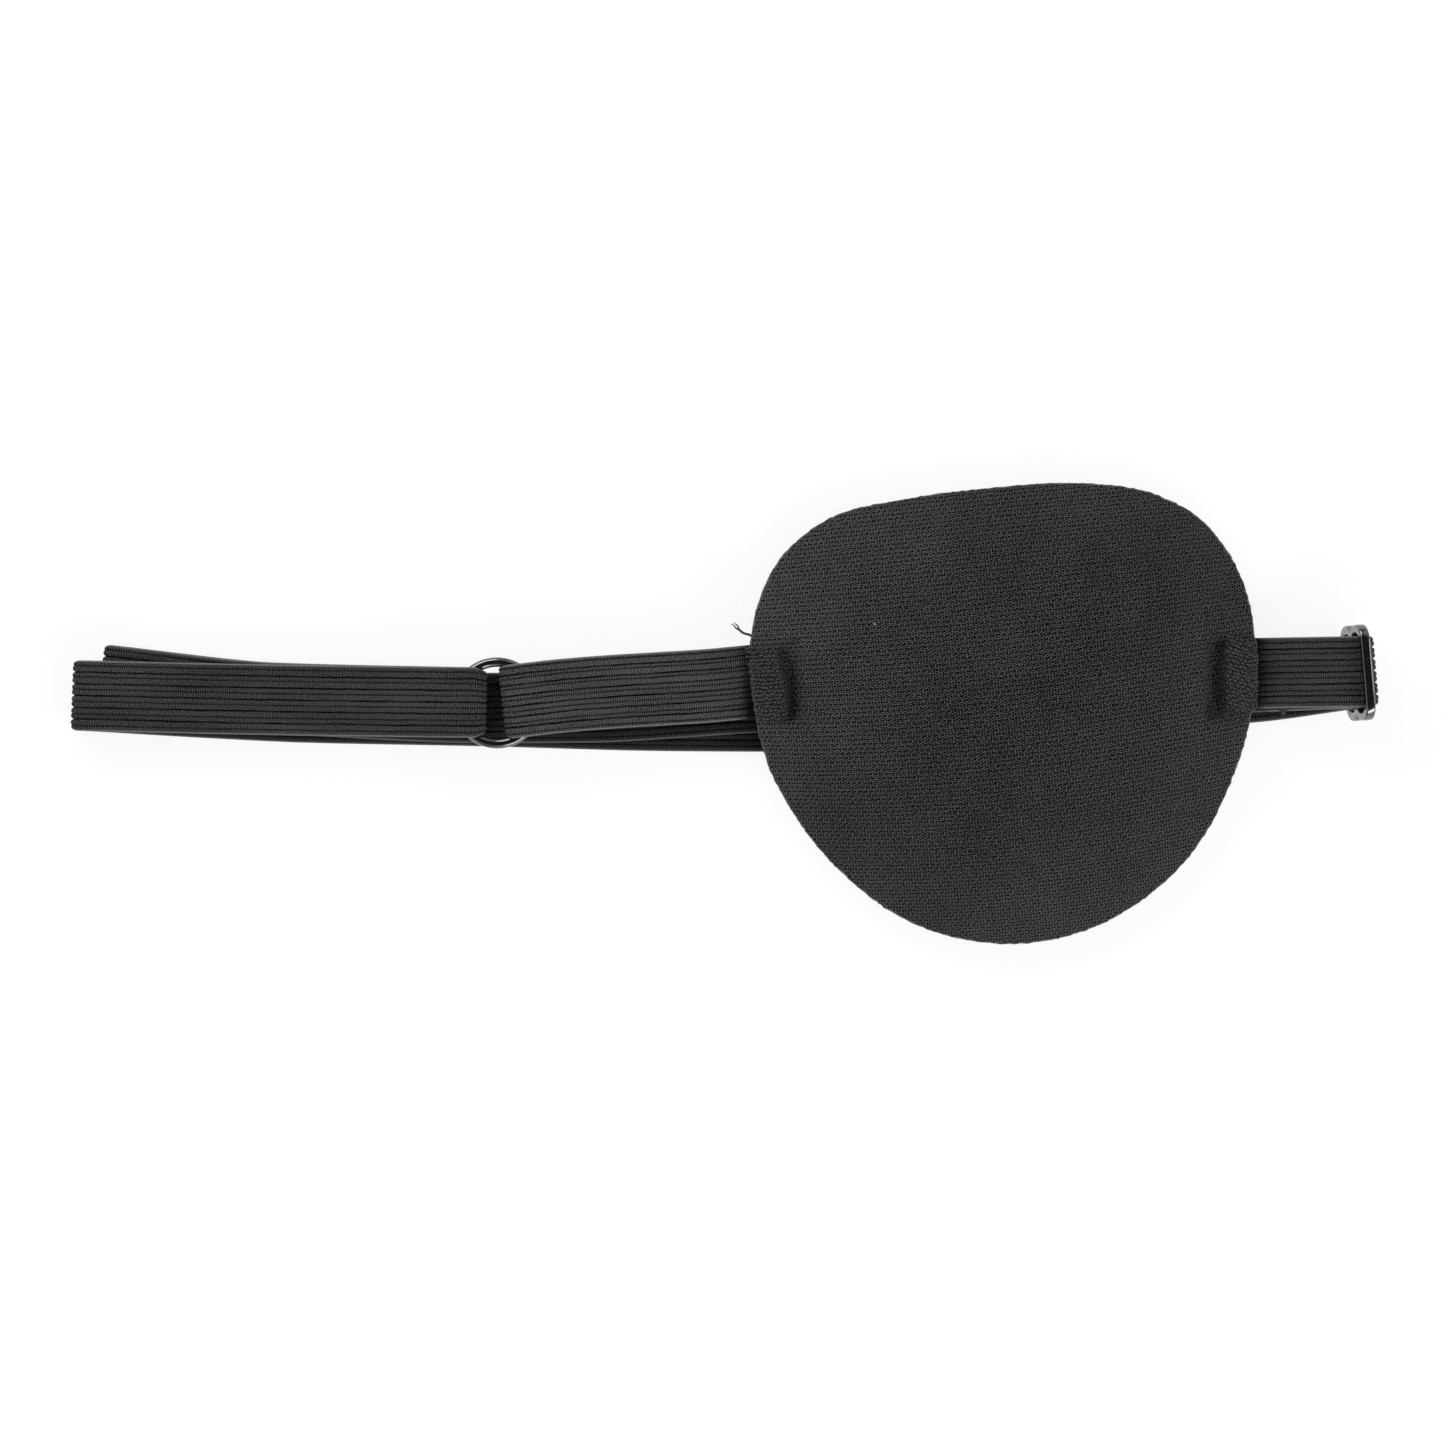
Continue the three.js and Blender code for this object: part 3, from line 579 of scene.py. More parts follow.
def strap_section(ribs, edge_spread):
    """Once round the strap: across, up and place round it for each point, first point repeated."""
    rib = STRAP_WIDTH / ribs
    spread = 1 + 2 * edge_spread / STRAP_WIDTH
    across = [
        -STRAP_WIDTH / 2 + rib * (index + (1 + share) / 2)
        for index in range(ribs)
        for share in RIB_POINT_SHARES
    ]
    top = [(-s * spread, rib_rise(-s, ribs), -s) for s in across]
    under = [(s * spread, -rib_rise(s, ribs), -STRAP_WIDTH - s) for s in across]
    first = (STRAP_WIDTH / 2 * spread, 0, -STRAP_WIDTH * 3 / 2)
    return np.array([*top, *under, first])


def unit(vectors):
    return vectors / np.maximum(np.linalg.norm(vectors, axis=-1, keepdims=True), 1e-12)


def path_lengths(places):
    return np.concatenate([[0], np.cumsum(np.linalg.norm(np.diff(places, axis=0), axis=1))])


def swept(stops, section):
    """Points of a section carried along stops, and each point's place on the cloth."""
    places = np.array([stop["place"] for stop in stops], float)
    sides = np.array([stop["side"] for stop in stops], float)
    outs = np.array([stop["out"] for stop in stops], float)
    shares = np.array([stop["width"] for stop in stops]) / STRAP_WIDTH
    tangents = unit(np.gradient(places, axis=0))
    ups = unit(np.cross(tangents, sides))
    sides = unit(np.cross(ups, tangents))
    across = section[None, :, 0] * shares[:, None]
    past_corner = abs(section[:, 0]) * 2 / STRAP_WIDTH - FOLD_CORNER_SHARE
    drawn = FOLD_CORNER_DRAW * smooth(past_corner / (1 - FOLD_CORNER_SHARE))
    drawn = drawn + FOLD_GROOVE_SHARE * (HALF_STRAP - abs(section[:, 1]))
    points = (
        places[:, None, :]
        + sides[:, None, :] * across[:, :, None]
        + ups[:, None, :] * section[None, :, 1, None]
        - outs[:, None, :] * drawn[None, :, None]
    )
    return points, path_lengths(places)


def placed(name, data):
    """A new object in the scene for a mesh, a lamp or the camera."""
    thing = bpy.data.objects.new(name, data)
    bpy.context.collection.objects.link(thing)
    return thing


def piece_from(name, points, faces, corner_map=None, flat_faces=0):
    """A mesh object from points in millimetres. The last flat_faces faces are shaded flat."""
    mesh = bpy.data.meshes.new(name)
    mesh.from_pydata((np.asarray(points) * MM + ORIGIN).tolist(), [], faces)
    smooth_flags = [True] * (len(faces) - flat_faces) + [False] * flat_faces
    mesh.polygons.foreach_set("use_smooth", smooth_flags)
    if corner_map is not None:
        layer = mesh.uv_layers.new(name=CLOTH_MAP)
        layer.data.foreach_set("uv", np.asarray(corner_map, np.float32).ravel())
    mesh.update()
    return placed(name, mesh)


def mark(piece, label, values):
    """Gives each point of a piece a number that its material reads."""
    attribute = piece.data.attributes.new(label, "FLOAT", "POINT")
    attribute.data.foreach_set("value", values.astype(np.float32))


def quads_of(row, column, following, width):
    """Quads on a grid of points that is width points wide."""
    corners = (
        row * width + column,
        row * width + following,
        (row + 1) * width + following,
        (row + 1) * width + column,
    )
    return np.stack(corners, axis=-1).reshape(-1, 4)


def tube_faces(rows, columns):
    """Quads round a tube of rows by columns, as point numbers and as numbers with no wrap."""
    row, column = np.meshgrid(np.arange(rows - 1), np.arange(columns), indexing="ij")
    wrapped = quads_of(row, column, (column + 1) % columns, columns)
    return wrapped, quads_of(row, column, column + 1, columns + 1)


def tubes_piece(name, tubes):
    """Many closed tubes as one piece, each from its rings of points."""
    points, faces = [], []
    for rings in tubes:
        rows, columns = rings.shape[:2]
        quads, _ = tube_faces(rows, columns)
        first = len(points)
        last = first + (rows - 1) * columns
        points += rings.reshape(-1, 3).tolist()
        faces += (quads + first).tolist()
        faces.append(list(range(first, first + columns))[::-1])
        faces.append(list(range(last, last + columns)))
    corner_map = np.array([points[corner][:2] for face in faces for corner in face])
    return piece_from(name, points, faces, corner_map)


def tuck_shade(places):
    """How much painted shade a place on a strap gets: on the low runs, which lie under the others,
    and by the patch's sewn rim.
    """
    shade = UNDER_RUN_SHADE * (places[:, 2] < UPPER_RUN_Z + HALF_STRAP)
    rims = ((LEFT_EDGE_X, -1, DOUBLED_RUN_Z), (RIGHT_EDGE_X + SKIRT_REACH, 1, SEWN_RUN_Z))
    for edge_x, way, floor_z in rims:
        past_rim = (places[:, 0] - edge_x) * way
        on_top = (places[:, 2] > floor_z - HALF_STRAP) & (places[:, 0] * way > 0)
        shade = np.maximum(shade, (1 - smooth(past_rim / TUCK_REACH)) * on_top)
    return shade


def strap_piece(name, stops, chain_start, way, ribs=STRAP_RIBS, edge_spread=EDGE_SPREAD):
    """A length of ribbed strap. chain_start and way run its chains on from its neighbour's."""
    section = strap_section(ribs, edge_spread)
    points, lengths = swept(stops, section)
    rows, columns = points.shape[0], points.shape[1] - 1
    faces, unwrapped = tube_faces(rows, columns)
    round_place = np.broadcast_to(section[None, :, 2], points.shape[:2])
    along = np.broadcast_to((chain_start + way * lengths)[:, None], points.shape[:2])
    cloth = np.stack([round_place, along], axis=-1).reshape(-1, 2)
    last = (rows - 1) * columns
    caps = [list(range(columns))[::-1], list(range(last, last + columns))]
    corner_map = np.concatenate(
        [
            cloth[unwrapped.ravel()],
            np.repeat(cloth[:1], columns, axis=0),
            np.repeat(cloth[-1:], columns, axis=0),
        ]
    )
    places = points[:, :columns].reshape(-1, 3)
    piece = piece_from(name, places, faces.tolist() + caps, corner_map, len(caps))
    mark(piece, "painted_tuck_shade", tuck_shade(places))
    return piece, chain_start + way * lengths[-1]


# The strap's runs and the tab's two legs, each with the heights that it passes through
lower_run = Run(LOWER_RUN_SHARES, OUTER_FOLD_X, SLIDER_X, (
    (OUTER_FOLD_X, LOWER_RUN_Z),
    (SEAM_FAR_X, LOWER_RUN_Z),
    (LEVEL_X, SLIDER_Z - MAIN_LOOP_RADIUS),
    (SLIDER_X, SLIDER_Z - MAIN_LOOP_RADIUS),
))
upper_run = Run(UPPER_RUN_SHARES, INNER_FOLD_X, SLIDER_X, (
    (INNER_FOLD_X, UPPER_RUN_Z),
    (RIGHT_EDGE_X + TACK_OVERHANG, UPPER_RUN_Z),
    (SEWN_END_X, SEAM_LEG_Z),
    (SEAM_FAR_X, SEAM_LEG_Z),
    (LEVEL_X, SLIDER_Z - SEWN_LOOP_RADIUS),
    (SLIDER_X, SLIDER_Z - SEWN_LOOP_RADIUS),
))
top_run = Run(TOP_RUN_SHARES, OUTER_FOLD_X, STRAP_FOLD_X, (
    (OUTER_FOLD_X, TOP_RUN_Z),
    (RING_X - RING_RADIUS - RING_WIRE - CLIMB_LENGTH, TOP_RUN_Z),
    (RING_X - RING_OUTER_RADIUS, RING_Z + RING_WRAP_RADIUS),
    (STRAP_FOLD_X, RING_Z + RING_WRAP_RADIUS),
))
inner_run = Run(INNER_RUN_SHARES, INNER_FOLD_X, STRAP_FOLD_X, (
    (INNER_FOLD_X, INNER_RUN_Z),
    (STRAP_FOLD_X, INNER_RUN_Z),
))
TAB_END_X = LEFT_TACK["x"] + TACK_LENGTH / 2
tab_upper_leg = Run(TAB_SHARES, TAB_FOLD_X, TAB_END_X, (
    (TAB_FOLD_X, RING_Z + RING_WRAP_RADIUS),
    (RING_X + RING_OUTER_RADIUS, RING_Z + RING_WRAP_RADIUS),
    (LEFT_EDGE_X - TACK_OVERHANG, DOUBLED_RUN_Z),
    (TAB_END_X, DOUBLED_RUN_Z),
))
tab_lower_leg = Run(TAB_SHARES, TAB_FOLD_X, TAB_END_X, (
    (TAB_FOLD_X, INNER_RUN_Z),
    (RING_X + RING_OUTER_RADIUS, INNER_RUN_Z),
    (LEFT_EDGE_X - TACK_OVERHANG, SEWN_RUN_Z),
    (TAB_END_X, SEWN_RUN_Z),
))
ANCHOR_START_X = RIGHT_TACK["x"] - TACK_LENGTH / 2 - TACK_OVERHANG
anchor_run = Run(ANCHOR_SHARES, ANCHOR_START_X, SLIDER_X, (
    (ANCHOR_START_X, SEWN_RUN_Z),
    (RIGHT_EDGE_X, SEWN_RUN_Z),
    (SEWN_END_X, SEAM_CLEAR_Z),
    (LEVEL_X, SLIDER_Z + MAIN_LOOP_RADIUS),
    (SLIDER_X, SLIDER_Z + MAIN_LOOP_RADIUS),
))
sewn_leg = Run(UPPER_RUN_SHARES, INNER_FOLD_X, SLIDER_X, (
    (SEWN_END_X, SEAM_END_Z),
    (SEAM_FAR_X, SEAM_END_Z),
    (LEVEL_X, SLIDER_Z + SEWN_LOOP_RADIUS),
    (SLIDER_X, SLIDER_Z + SEWN_LOOP_RADIUS),
))


def build_tab():
    stops = strap_along(TAB_END_X, (tab_upper_leg, TAB_FOLD_X), (tab_lower_leg, TAB_END_X))
    tab, _ = strap_piece("tab_elastic", stops, 0, 1, TAB_RIBS, TAB_EDGE_SPREAD)
    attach(tab, "patch")
    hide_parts("ring_tab")
    return tab


def build_long_strap():
    """The long strap in four lengths. Each plan has its name, its stops, 1 where its chains run on
    from the length before it and -1 where they run back from the patch's middle, a body and two
    places, which are not used, and its nodes."""
    plans = (
        # Left from under the patch: inner fold, loop through the ring, outer fold and back
        (
            "strap_left_half",
            strap_along(
                JOIN_X,
                (upper_run, INNER_FOLD_X),
                (inner_run, STRAP_FOLD_X),
                (top_run, OUTER_FOLD_X),
                (lower_run, JOIN_X),
            ),
            1,
            "left_folds",
            (STRAP_FOLD_X - FLAT_STEP, INNER_FOLD_X + FOLD_RUN_OUT),
            ("strap_outer_fold", "strap_inner_fold", "strap_ring_loop"),
        ),
        # The lowest run, from under the patch to the right as far as the slider's loop
        (
            "strap_lower_half",
            strap_along(JOIN_X, (lower_run, FOLD_END_X)),
            1,
            "slider_loops",
            (JOIN_X + FLAT_STEP, FOLD_END_X),
            ("strap_lower_run",),
        ),
        # Up round the slider in both slots, and back on top to the patch's right tack
        (
            "strap_slider_loop",
            strap_along(FOLD_END_X, (lower_run, SLIDER_X), (anchor_run, ANCHOR_START_X)),
            1,
            "slider_loops",
            (RIGHT_EDGE_X + TACK_OVERHANG, FOLD_END_X),
            ("strap_slider_fold", "strap_anchor_run"),
        ),
        # From under the patch to the right, round the slider's middle bar and back to its cut end
        (
            "strap_sewn_half",
            strap_along(JOIN_X, (upper_run, SLIDER_X), (sewn_leg, SEWN_END_X)),
            -1,
            "slider_loops",
            (JOIN_X + FLAT_STEP, SEWN_END_X - FLAT_STEP),
            ("strap_upper_run", "strap_sewn_end"),
        ),
    )
    straps = []
    chain_end = 0
    for name, stops, way, body, (start_x, end_x), nodes in plans:
        strap, chain_end = strap_piece(name, stops, chain_end if way > 0 else 0, way)
        y = RING_Y if body == "left_folds" else SLIDER_Y
        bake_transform(strap)
        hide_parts(*nodes)
        straps.append(strap)
    return straps


def knot_slope(before, here, after, gap_before, gap_after):
    """Slope of the outline at one of its knots."""
    return (
        (here - before) / gap_before
        - (after - before) / (gap_before + gap_after)
        + (after - here) / gap_after
    )


def outline_points(count):
    """An even round of points on the curve through the outline's shares."""
    knots = np.array(OUTLINE_SHARES) * (PATCH_WIDTH / 2, PATCH_HEIGHT / 2)
    t = (np.arange(count) / count)[:, None]
    dense = []
    for index in range(len(knots)):
        a, b, c, d = (knots[(index + step - 1) % len(knots)] for step in range(4))
        gaps = [np.linalg.norm(far - near) ** 0.5 for near, far in ((a, b), (b, c), (c, d))]
        leave = knot_slope(a, b, c, gaps[0], gaps[1]) * gaps[1]
        arrive = knot_slope(b, c, d, gaps[1], gaps[2]) * gaps[1]
        dense.append(bridged(b, c, leave, arrive, t))
    dense = np.concatenate([*dense, dense[0][:1]])
    lengths = path_lengths(dense)
    evenly = np.linspace(0, lengths[-1], count, endpoint=False)
    return np.stack([np.interp(evenly, lengths, dense[:, axis]) for axis in range(2)], axis=-1)


plain_rim = outline_points(OUTLINE_STEPS)
rim_angles = np.arctan2(plain_rim[:, 1], plain_rim[:, 0])
rim_radii = np.hypot(plain_rim[:, 0], plain_rim[:, 1])


def reach_of(x, y):
    """How far out a place lies, from 0 in the middle to 1 at the rim, and its rim point."""
    radius = np.interp(np.arctan2(y, x), rim_angles, rim_radii, period=2 * math.pi)
    distance = np.maximum(np.hypot(x, y), 1e-6)
    return distance / radius, x / distance * radius, y / distance * radius


def tack_distance(tack, x, y):
    along = np.maximum(abs(x - tack["x"]) - TACK_LENGTH / 2, 0)
    across = np.maximum(abs(y - tack["y"]) - TACK_HALF_WIDTH, 0)
    return np.hypot(along, across)


def tack_hold(tack, x, y):
    """How firmly a tack holds the cloth down: 1 in the tack, fading over the pucker."""
    return 1 - smooth(tack_distance(tack, x, y) / PUCKER_WIDTH)


def rim_height(rim_x, rim_y):
    """The rim lies just over the table and climbs over the strap at each tack."""
    left = rim_x < 0
    tack_y = np.where(left, LEFT_TACK["y"], RIGHT_TACK["y"])
    tack_z = np.where(left, LEFT_TACK["z"], RIGHT_TACK["z"])
    excess = np.maximum(abs(rim_y - tack_y) - TACK_HALF_WIDTH, 0)
    return mix(tack_z, RIM_CLEARANCE, smooth(excess / RIM_LIFT_WIDTH))


def ridge_place(tack, x, y):
    """Place over a tack's sewn ridge: -1 to 1 along the strap, and -1 to 1 across it."""
    low, high = tack["ridge"]
    across = (y - tack["y"]) / TACK_HALF_WIDTH
    bow = tack["bow"] * tack["inward"] * np.maximum(1 - across**2, 0)
    slanted = x + tack["slant"] * (y - tack["y"]) - bow
    along = (2 * slanted - low - high) / (high - low)
    return along * tack["inward"], across


def ridge_crest(tack, x, y):
    """How the foam swells between a tack's threads: 1 on the ridge's middle, 0 round it."""
    along, across = ridge_place(tack, x, y)
    return np.maximum(1 - along**2, 0) ** CREST_POWER * np.maximum(1 - across**4, 0)


def valley_hold(tack, x, y):
    """The valley past the ridge's inner end, where the threads pull the cloth down. It also sets
    where the knit gets painted shade.
    """
    low, high = tack["ridge"]
    along, across = ridge_place(tack, x, y)
    past_end = (along - 1) * (high - low) / 2 - VALLEY_WIDTH * VALLEY_SETBACK_SHARE
    past_side = np.maximum(abs(across) - VALLEY_SIDE_SHARE, 0) * TACK_HALF_WIDTH
    return np.exp(-((past_end / VALLEY_WIDTH) ** 2 + (past_side / VALLEY_WIDTH) ** 2))


def gathering(tack, x, y):
    """Folds that run out from a tack over the cloth."""
    distance = tack_distance(tack, x, y)
    inward = smooth((x - tack["x"]) * tack["inward"] / TACK_LENGTH + 0.5)
    turn = np.arctan2(y - tack["y"], (x - tack["x"]) * tack["inward"])
    window = smooth(distance / PUCKER_WIDTH) * (1 - smooth(distance / GATHER_REACH))
    folds = np.sin(GATHER_COUNT * turn + np.sin(3 * turn) + tack["inward"])
    past_end = (distance - PUCKER_WIDTH / 2) / (PUCKER_WIDTH / 3)
    beside = 1 - smooth((abs(y - tack["y"]) - TACK_HALF_WIDTH) / PUCKER_WIDTH + 0.5)
    drop = VALLEY_DROP * np.exp(-(past_end**2)) * beside
    return (GATHER_HEIGHT * folds * window - drop) * inward


def underside_height(x, y):
    reach, rim_x, rim_y = reach_of(x, y)
    height = mix(HOLLOW_HEIGHT, rim_height(rim_x, rim_y), np.minimum(reach, 1) ** DOME_POWER)
    for tack in TACKS:
        height = mix(height, tack["z"], tack_hold(tack, x, y)) + gathering(tack, x, y)
    return height


def foam_thickness(x, y):
    hold = np.maximum(tack_hold(LEFT_TACK, x, y), tack_hold(RIGHT_TACK, x, y))
    thickness = mix(FOAM_THICKNESS, SQUEEZED_FOAM, hold)
    for tack in TACKS:
        thickness = thickness + SEWN_CREST * ridge_crest(tack, x, y)
        thickness = mix(thickness, THINNEST_FOAM, valley_hold(tack, x, y))
    return thickness


def lining_top(x, y):
    return underside_height(x, y) + LINING_THICKNESS


def foam_bottom(x, y):
    return lining_top(x, y) + BOND_GAP


def face_bottom(x, y):
    return lining_top(x, y) + 2 * LAYER_GAP + foam_thickness(x, y) + surface_wobble(x, y)


def foam_top(x, y):
    return face_bottom(x, y) - BOND_GAP


def face_top(x, y):
    return face_bottom(x, y) + FACE_THICKNESS


def surface_wobble(x, y):
    """Slow unevenness of a cloth that was laid over foam."""
    flat_x, flat_y = np.broadcast_arrays(np.asarray(x, float), np.asarray(y, float))
    size = SURFACE_WOBBLE_SIZE
    values = [
        noise.noise(Vector((px / size, py / size, 0))) for px, py in zip(flat_x.flat, flat_y.flat)
    ]
    return SURFACE_WOBBLE * np.array(values).reshape(flat_x.shape)


def wobbled_rim(rim, seed):
    """The cut edge is never quite even, and each layer's edge differs a little."""
    size = EDGE_WOBBLE_SIZE
    moves = np.array([noise.noise(Vector((x / size, y / size, seed))) for x, y in rim])
    past_skirt = abs(rim[:, 1] - RIGHT_TACK["y"]) - SKIRT_HALF_WIDTH
    in_skirt = (1 - smooth(past_skirt / SKIRT_FADE)) * (rim[:, 0] > 0)
    skirt = (RIGHT_EDGE_X + SKIRT_REACH - rim[:, 0]) * in_skirt
    spread = RIM_SPREAD * (1 - in_skirt) + EDGE_WOBBLE * moves + skirt
    return rim * (1 + spread / np.linalg.norm(rim, axis=1))[:, None]


def knit_place(x, y):
    """Where a place on the dome lies on the flat knit, which runs askew and was drawn over it."""
    wale = x * (1 + (x / KNIT_SPREAD_X) ** 2) + KNIT_LEAN * y
    drawn = y * (1 - y / KNIT_DRAWN_Y + (y / KNIT_SPREAD_Y) ** 2)
    sag = x * KNIT_SLOPE + x * x / KNIT_BEND_SIZE * (1 - y / KNIT_BEND_REACH)
    return wale, drawn - sag


def tack_span(tack, y):
    """1 where the rim crosses a tack, fading to 0 past its ends."""
    return 1 - smooth((abs(y - tack["y"]) - TACK_HALF_WIDTH) / CUT_FADE + 1)


def layer_piece(plan, bottom_at, top_at):
    """One closed layer of the patch between two height functions, with its cloth map."""
    steps, rings = plan["steps"], plan["rings"]
    rim = wobbled_rim(plain_rim[:: OUTLINE_STEPS // steps], plan["seed"])
    shares = 1 - (1 - np.arange(1, rings + 1) / rings) ** RING_CROWDING
    x = np.concatenate([[0], np.outer(shares, rim[:, 0]).ravel()])
    y = np.concatenate([[0], np.outer(shares, rim[:, 1]).ravel()])
    points = np.concatenate(
        [np.stack([x, y, bottom_at(x, y)], axis=-1), np.stack([x, y, top_at(x, y)], axis=-1)]
    )
    ring, step = np.meshgrid(np.arange(rings - 1), np.arange(steps), indexing="ij")
    following = (step + 1) % steps
    near, far = 1 + ring * steps, 1 + (ring + 1) * steps
    top_quads = np.stack([near + step, far + step, far + following, near + following], axis=-1)
    top_quads = top_quads.reshape(-1, 4)
    around = np.arange(steps)
    beside = (around + 1) % steps
    fan = np.stack([np.zeros(steps, int), 1 + around, 1 + beside], axis=-1)
    level = len(x)
    outer = 1 + (rings - 1) * steps
    wall = np.stack(
        [outer + around, outer + beside, level + outer + beside, level + outer + around], axis=-1
    )
    faces = [
        *top_quads[:, ::-1].tolist(),
        *(top_quads + level).tolist(),
        *fan[:, ::-1].tolist(),
        *(fan + level).tolist(),
        *wall.tolist(),
    ]
    corners = np.concatenate([np.asarray(face) for face in faces])
    cloth = np.stack(knit_place(points[:, 0], points[:, 1]), axis=-1)
    piece = piece_from(plan["name"], points, faces, cloth[corners], len(wall))
    crest = np.maximum(ridge_crest(LEFT_TACK, x, y), ridge_crest(RIGHT_TACK, x, y)) ** 0.5
    valley = np.maximum(valley_hold(LEFT_TACK, x, y), valley_hold(RIGHT_TACK, x, y))
    reach = np.concatenate([[0], np.repeat(shares, steps)])
    cut = smooth((reach - 1) / CUT_EDGE_SHARE + 1)
    # The edge's lighter yarn and painted highlight are dimmed where the rim lies over a tack
    for tack in TACKS:
        over_tack = (x * tack["inward"] < 0) * tack_span(tack, y)
        cut = cut * (1 - CUT_EDGE_DIMMING * over_tack)
    for label, values in (("pressed", crest), ("painted_valley_shade", valley), ("cut_edge", cut)):
        mark(piece, label, np.tile(values, 2))
    return piece


def build_patch():
    heights = ((face_bottom, face_top), (foam_bottom, foam_top), (underside_height, lining_top))
    face, foam, lining = layers = [
        layer_piece(plan, *levels) for plan, levels in zip(LAYERS, heights)
    ]
    for piece, plan in zip(layers, LAYERS):
        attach(piece, "patch")
        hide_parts(plan["node"])
    return layers


def stitch_rings(start, end, radius):
    """Rings of points along one rounded stitch."""
    start, end = np.array(start), np.array(end)
    along = unit(end - start)
    side = unit(np.cross(along, (0, 0, 1)))
    up = np.cross(side, along)
    turns = np.arange(STITCH_SIDES) / STITCH_SIDES * 2 * math.pi
    rings = []
    for share, girth in STITCH_GIRTH_SHARES:
        arch = radius * math.sin(share * math.pi)
        centre = mix(start, end, share) + up * arch / 2
        ring = np.outer(np.cos(turns), side) + np.outer(np.sin(turns), up)
        rings.append(centre + ring * radius * girth)
    return np.array(rings)


def tack_stitches(middle, half_width, grid, turn, height_at, sink, lean=0):
    """Rows of short stitches, a little uneven as a machine leaves them.

    grid is the number of columns, their pitch and a stitch's length."""
    columns, pitch, length = grid
    rows = round(2 * half_width / STITCH_ROW)
    middle_x, middle_y = middle
    stitches = []
    for row in range(rows + 1):
        for column in range(columns):
            place = column + (row % 2) / 2 - columns / 2
            from_middle = row * STITCH_ROW - half_width
            x = middle_x + (place + chance.uniform(-1, 1) * UNEVEN_SHARE) * pitch
            x -= lean * from_middle
            y = middle_y + from_middle + chance.uniform(-1, 1) * STITCH_ROW * UNEVEN_SHARE
            y += (x - middle_x) * math.tan(turn) / 2
            angle = turn + chance.uniform(-1, 1) * UNEVEN_TURN
            half = length * chance.uniform(*STITCH_LENGTH_SHARES) / 2
            depth = chance.random() ** 2 * STITCH_DEPTH
            dx, dy = half * math.cos(angle), half * math.sin(angle)
            ends = []
            for way in (-1, 1):
                px, py = x + way * dx, y + way * dy
                ends.append((px, py, float(height_at(px, py)) + sink - depth))
            stitches.append(ends)
    return stitches


def thread_piece(name, stitches, radius, body, node):
    """Rounded stitches that stand for a node's thread."""
    piece = tubes_piece(name, [stitch_rings(start, end, radius) for start, end in stitches])
    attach(piece, body)
    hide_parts(node)
    return piece


def build_tacks():
    """Needle threads on the face cloth, and bobbin threads under the tab and the strap."""
    pieces = []
    radius = STITCH_THICKNESS / 2
    under_z = SEWN_RUN_Z - HALF_STRAP - LAYER_GAP / 2
    half_width = TACK_HALF_WIDTH - STITCH_ROW
    for tack in TACKS:
        side, grid, turn = tack["side"], tack["grid"], tack["turn"]
        over_middle = (sum(tack["ridge"]) / 2, tack["y"])
        over = tack_stitches(
            over_middle, half_width, grid, turn, face_top, radius - STITCH_SINK, tack["slant"]
        )
        under_middle = (tack["x"], tack["y"])
        under = tack_stitches(
            under_middle, half_width, grid, -turn, lambda x, y: under_z, -radius / 2
        )
        for stitches, kind, node in ((over, "", "needle_"), (under, "bobbin_", "bobbin_")):
            name = f"{side}_tack_{kind}stitches"
            node_name = f"{side}_tack_{node}thread"
            pieces.append(thread_piece(name, stitches, radius, "patch", node_name))
    return pieces


def yarn_rings(line, start_radius, end_radius):
    """Rings of points round a yarn along a line, with a radius at its start and its end."""
    places = np.array(line, float)[:, None]
    tangents = unit(np.gradient(places, axis=0))
    sides = unit(np.cross((0, 0, 1), tangents))
    ups = unit(np.cross(tangents, sides))
    turns = (np.arange(STITCH_SIDES) / STITCH_SIDES * 2 * math.pi)[None, :, None]
    radii = np.linspace(start_radius, end_radius, len(places))[:, None, None]
    return places + (sides * np.cos(turns) + ups * np.sin(turns)) * radii


def fibre(start, heading, turn, rise, length, radius):
    """Rings of points round a short bent fibre that thins to its end."""
    middle = start + np.array((math.cos(heading), math.sin(heading), 0)) * length / 2
    bent = heading + turn
    end = middle + np.array((math.cos(bent), math.sin(bent), rise)) * length / 2
    return yarn_rings([start, middle, end], radius, radius / 2)


def rounded_line(corners, step):
    """A smooth line through corners, with a point every step."""
    lengths = path_lengths(corners)
    slopes = np.gradient(corners, lengths, axis=0)
    places = []
    for index in range(len(corners) - 1):
        span = lengths[index + 1] - lengths[index]
        count = max(2, round(span / step))
        leave, arrive = slopes[index] * span, slopes[index + 1] * span
        places += [
            bridged(corners[index], corners[index + 1], leave, arrive, t)
            for t in np.arange(count) / count
        ]
    places.append(corners[-1])
    return np.array(places)


def build_thread_tail():
    start = np.array((LEFT_EDGE_X + TAIL_INSET, TAIL_Y, TAIL_Z))
    plans = [(TAIL_SHARES, TAIL_RADII), *((shares, PLY_RADII) for shares in PLY_SHARES)]
    yarns = [
        yarn_rings(rounded_line(start + np.array(shares) * TAIL_SIZE, YARN_STEP), *radii)
        for shares, radii in plans
    ]
    tail = tubes_piece("thread_tail", yarns)
    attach(tail, "patch")
    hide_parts("left_tack_needle_thread")
    return tail


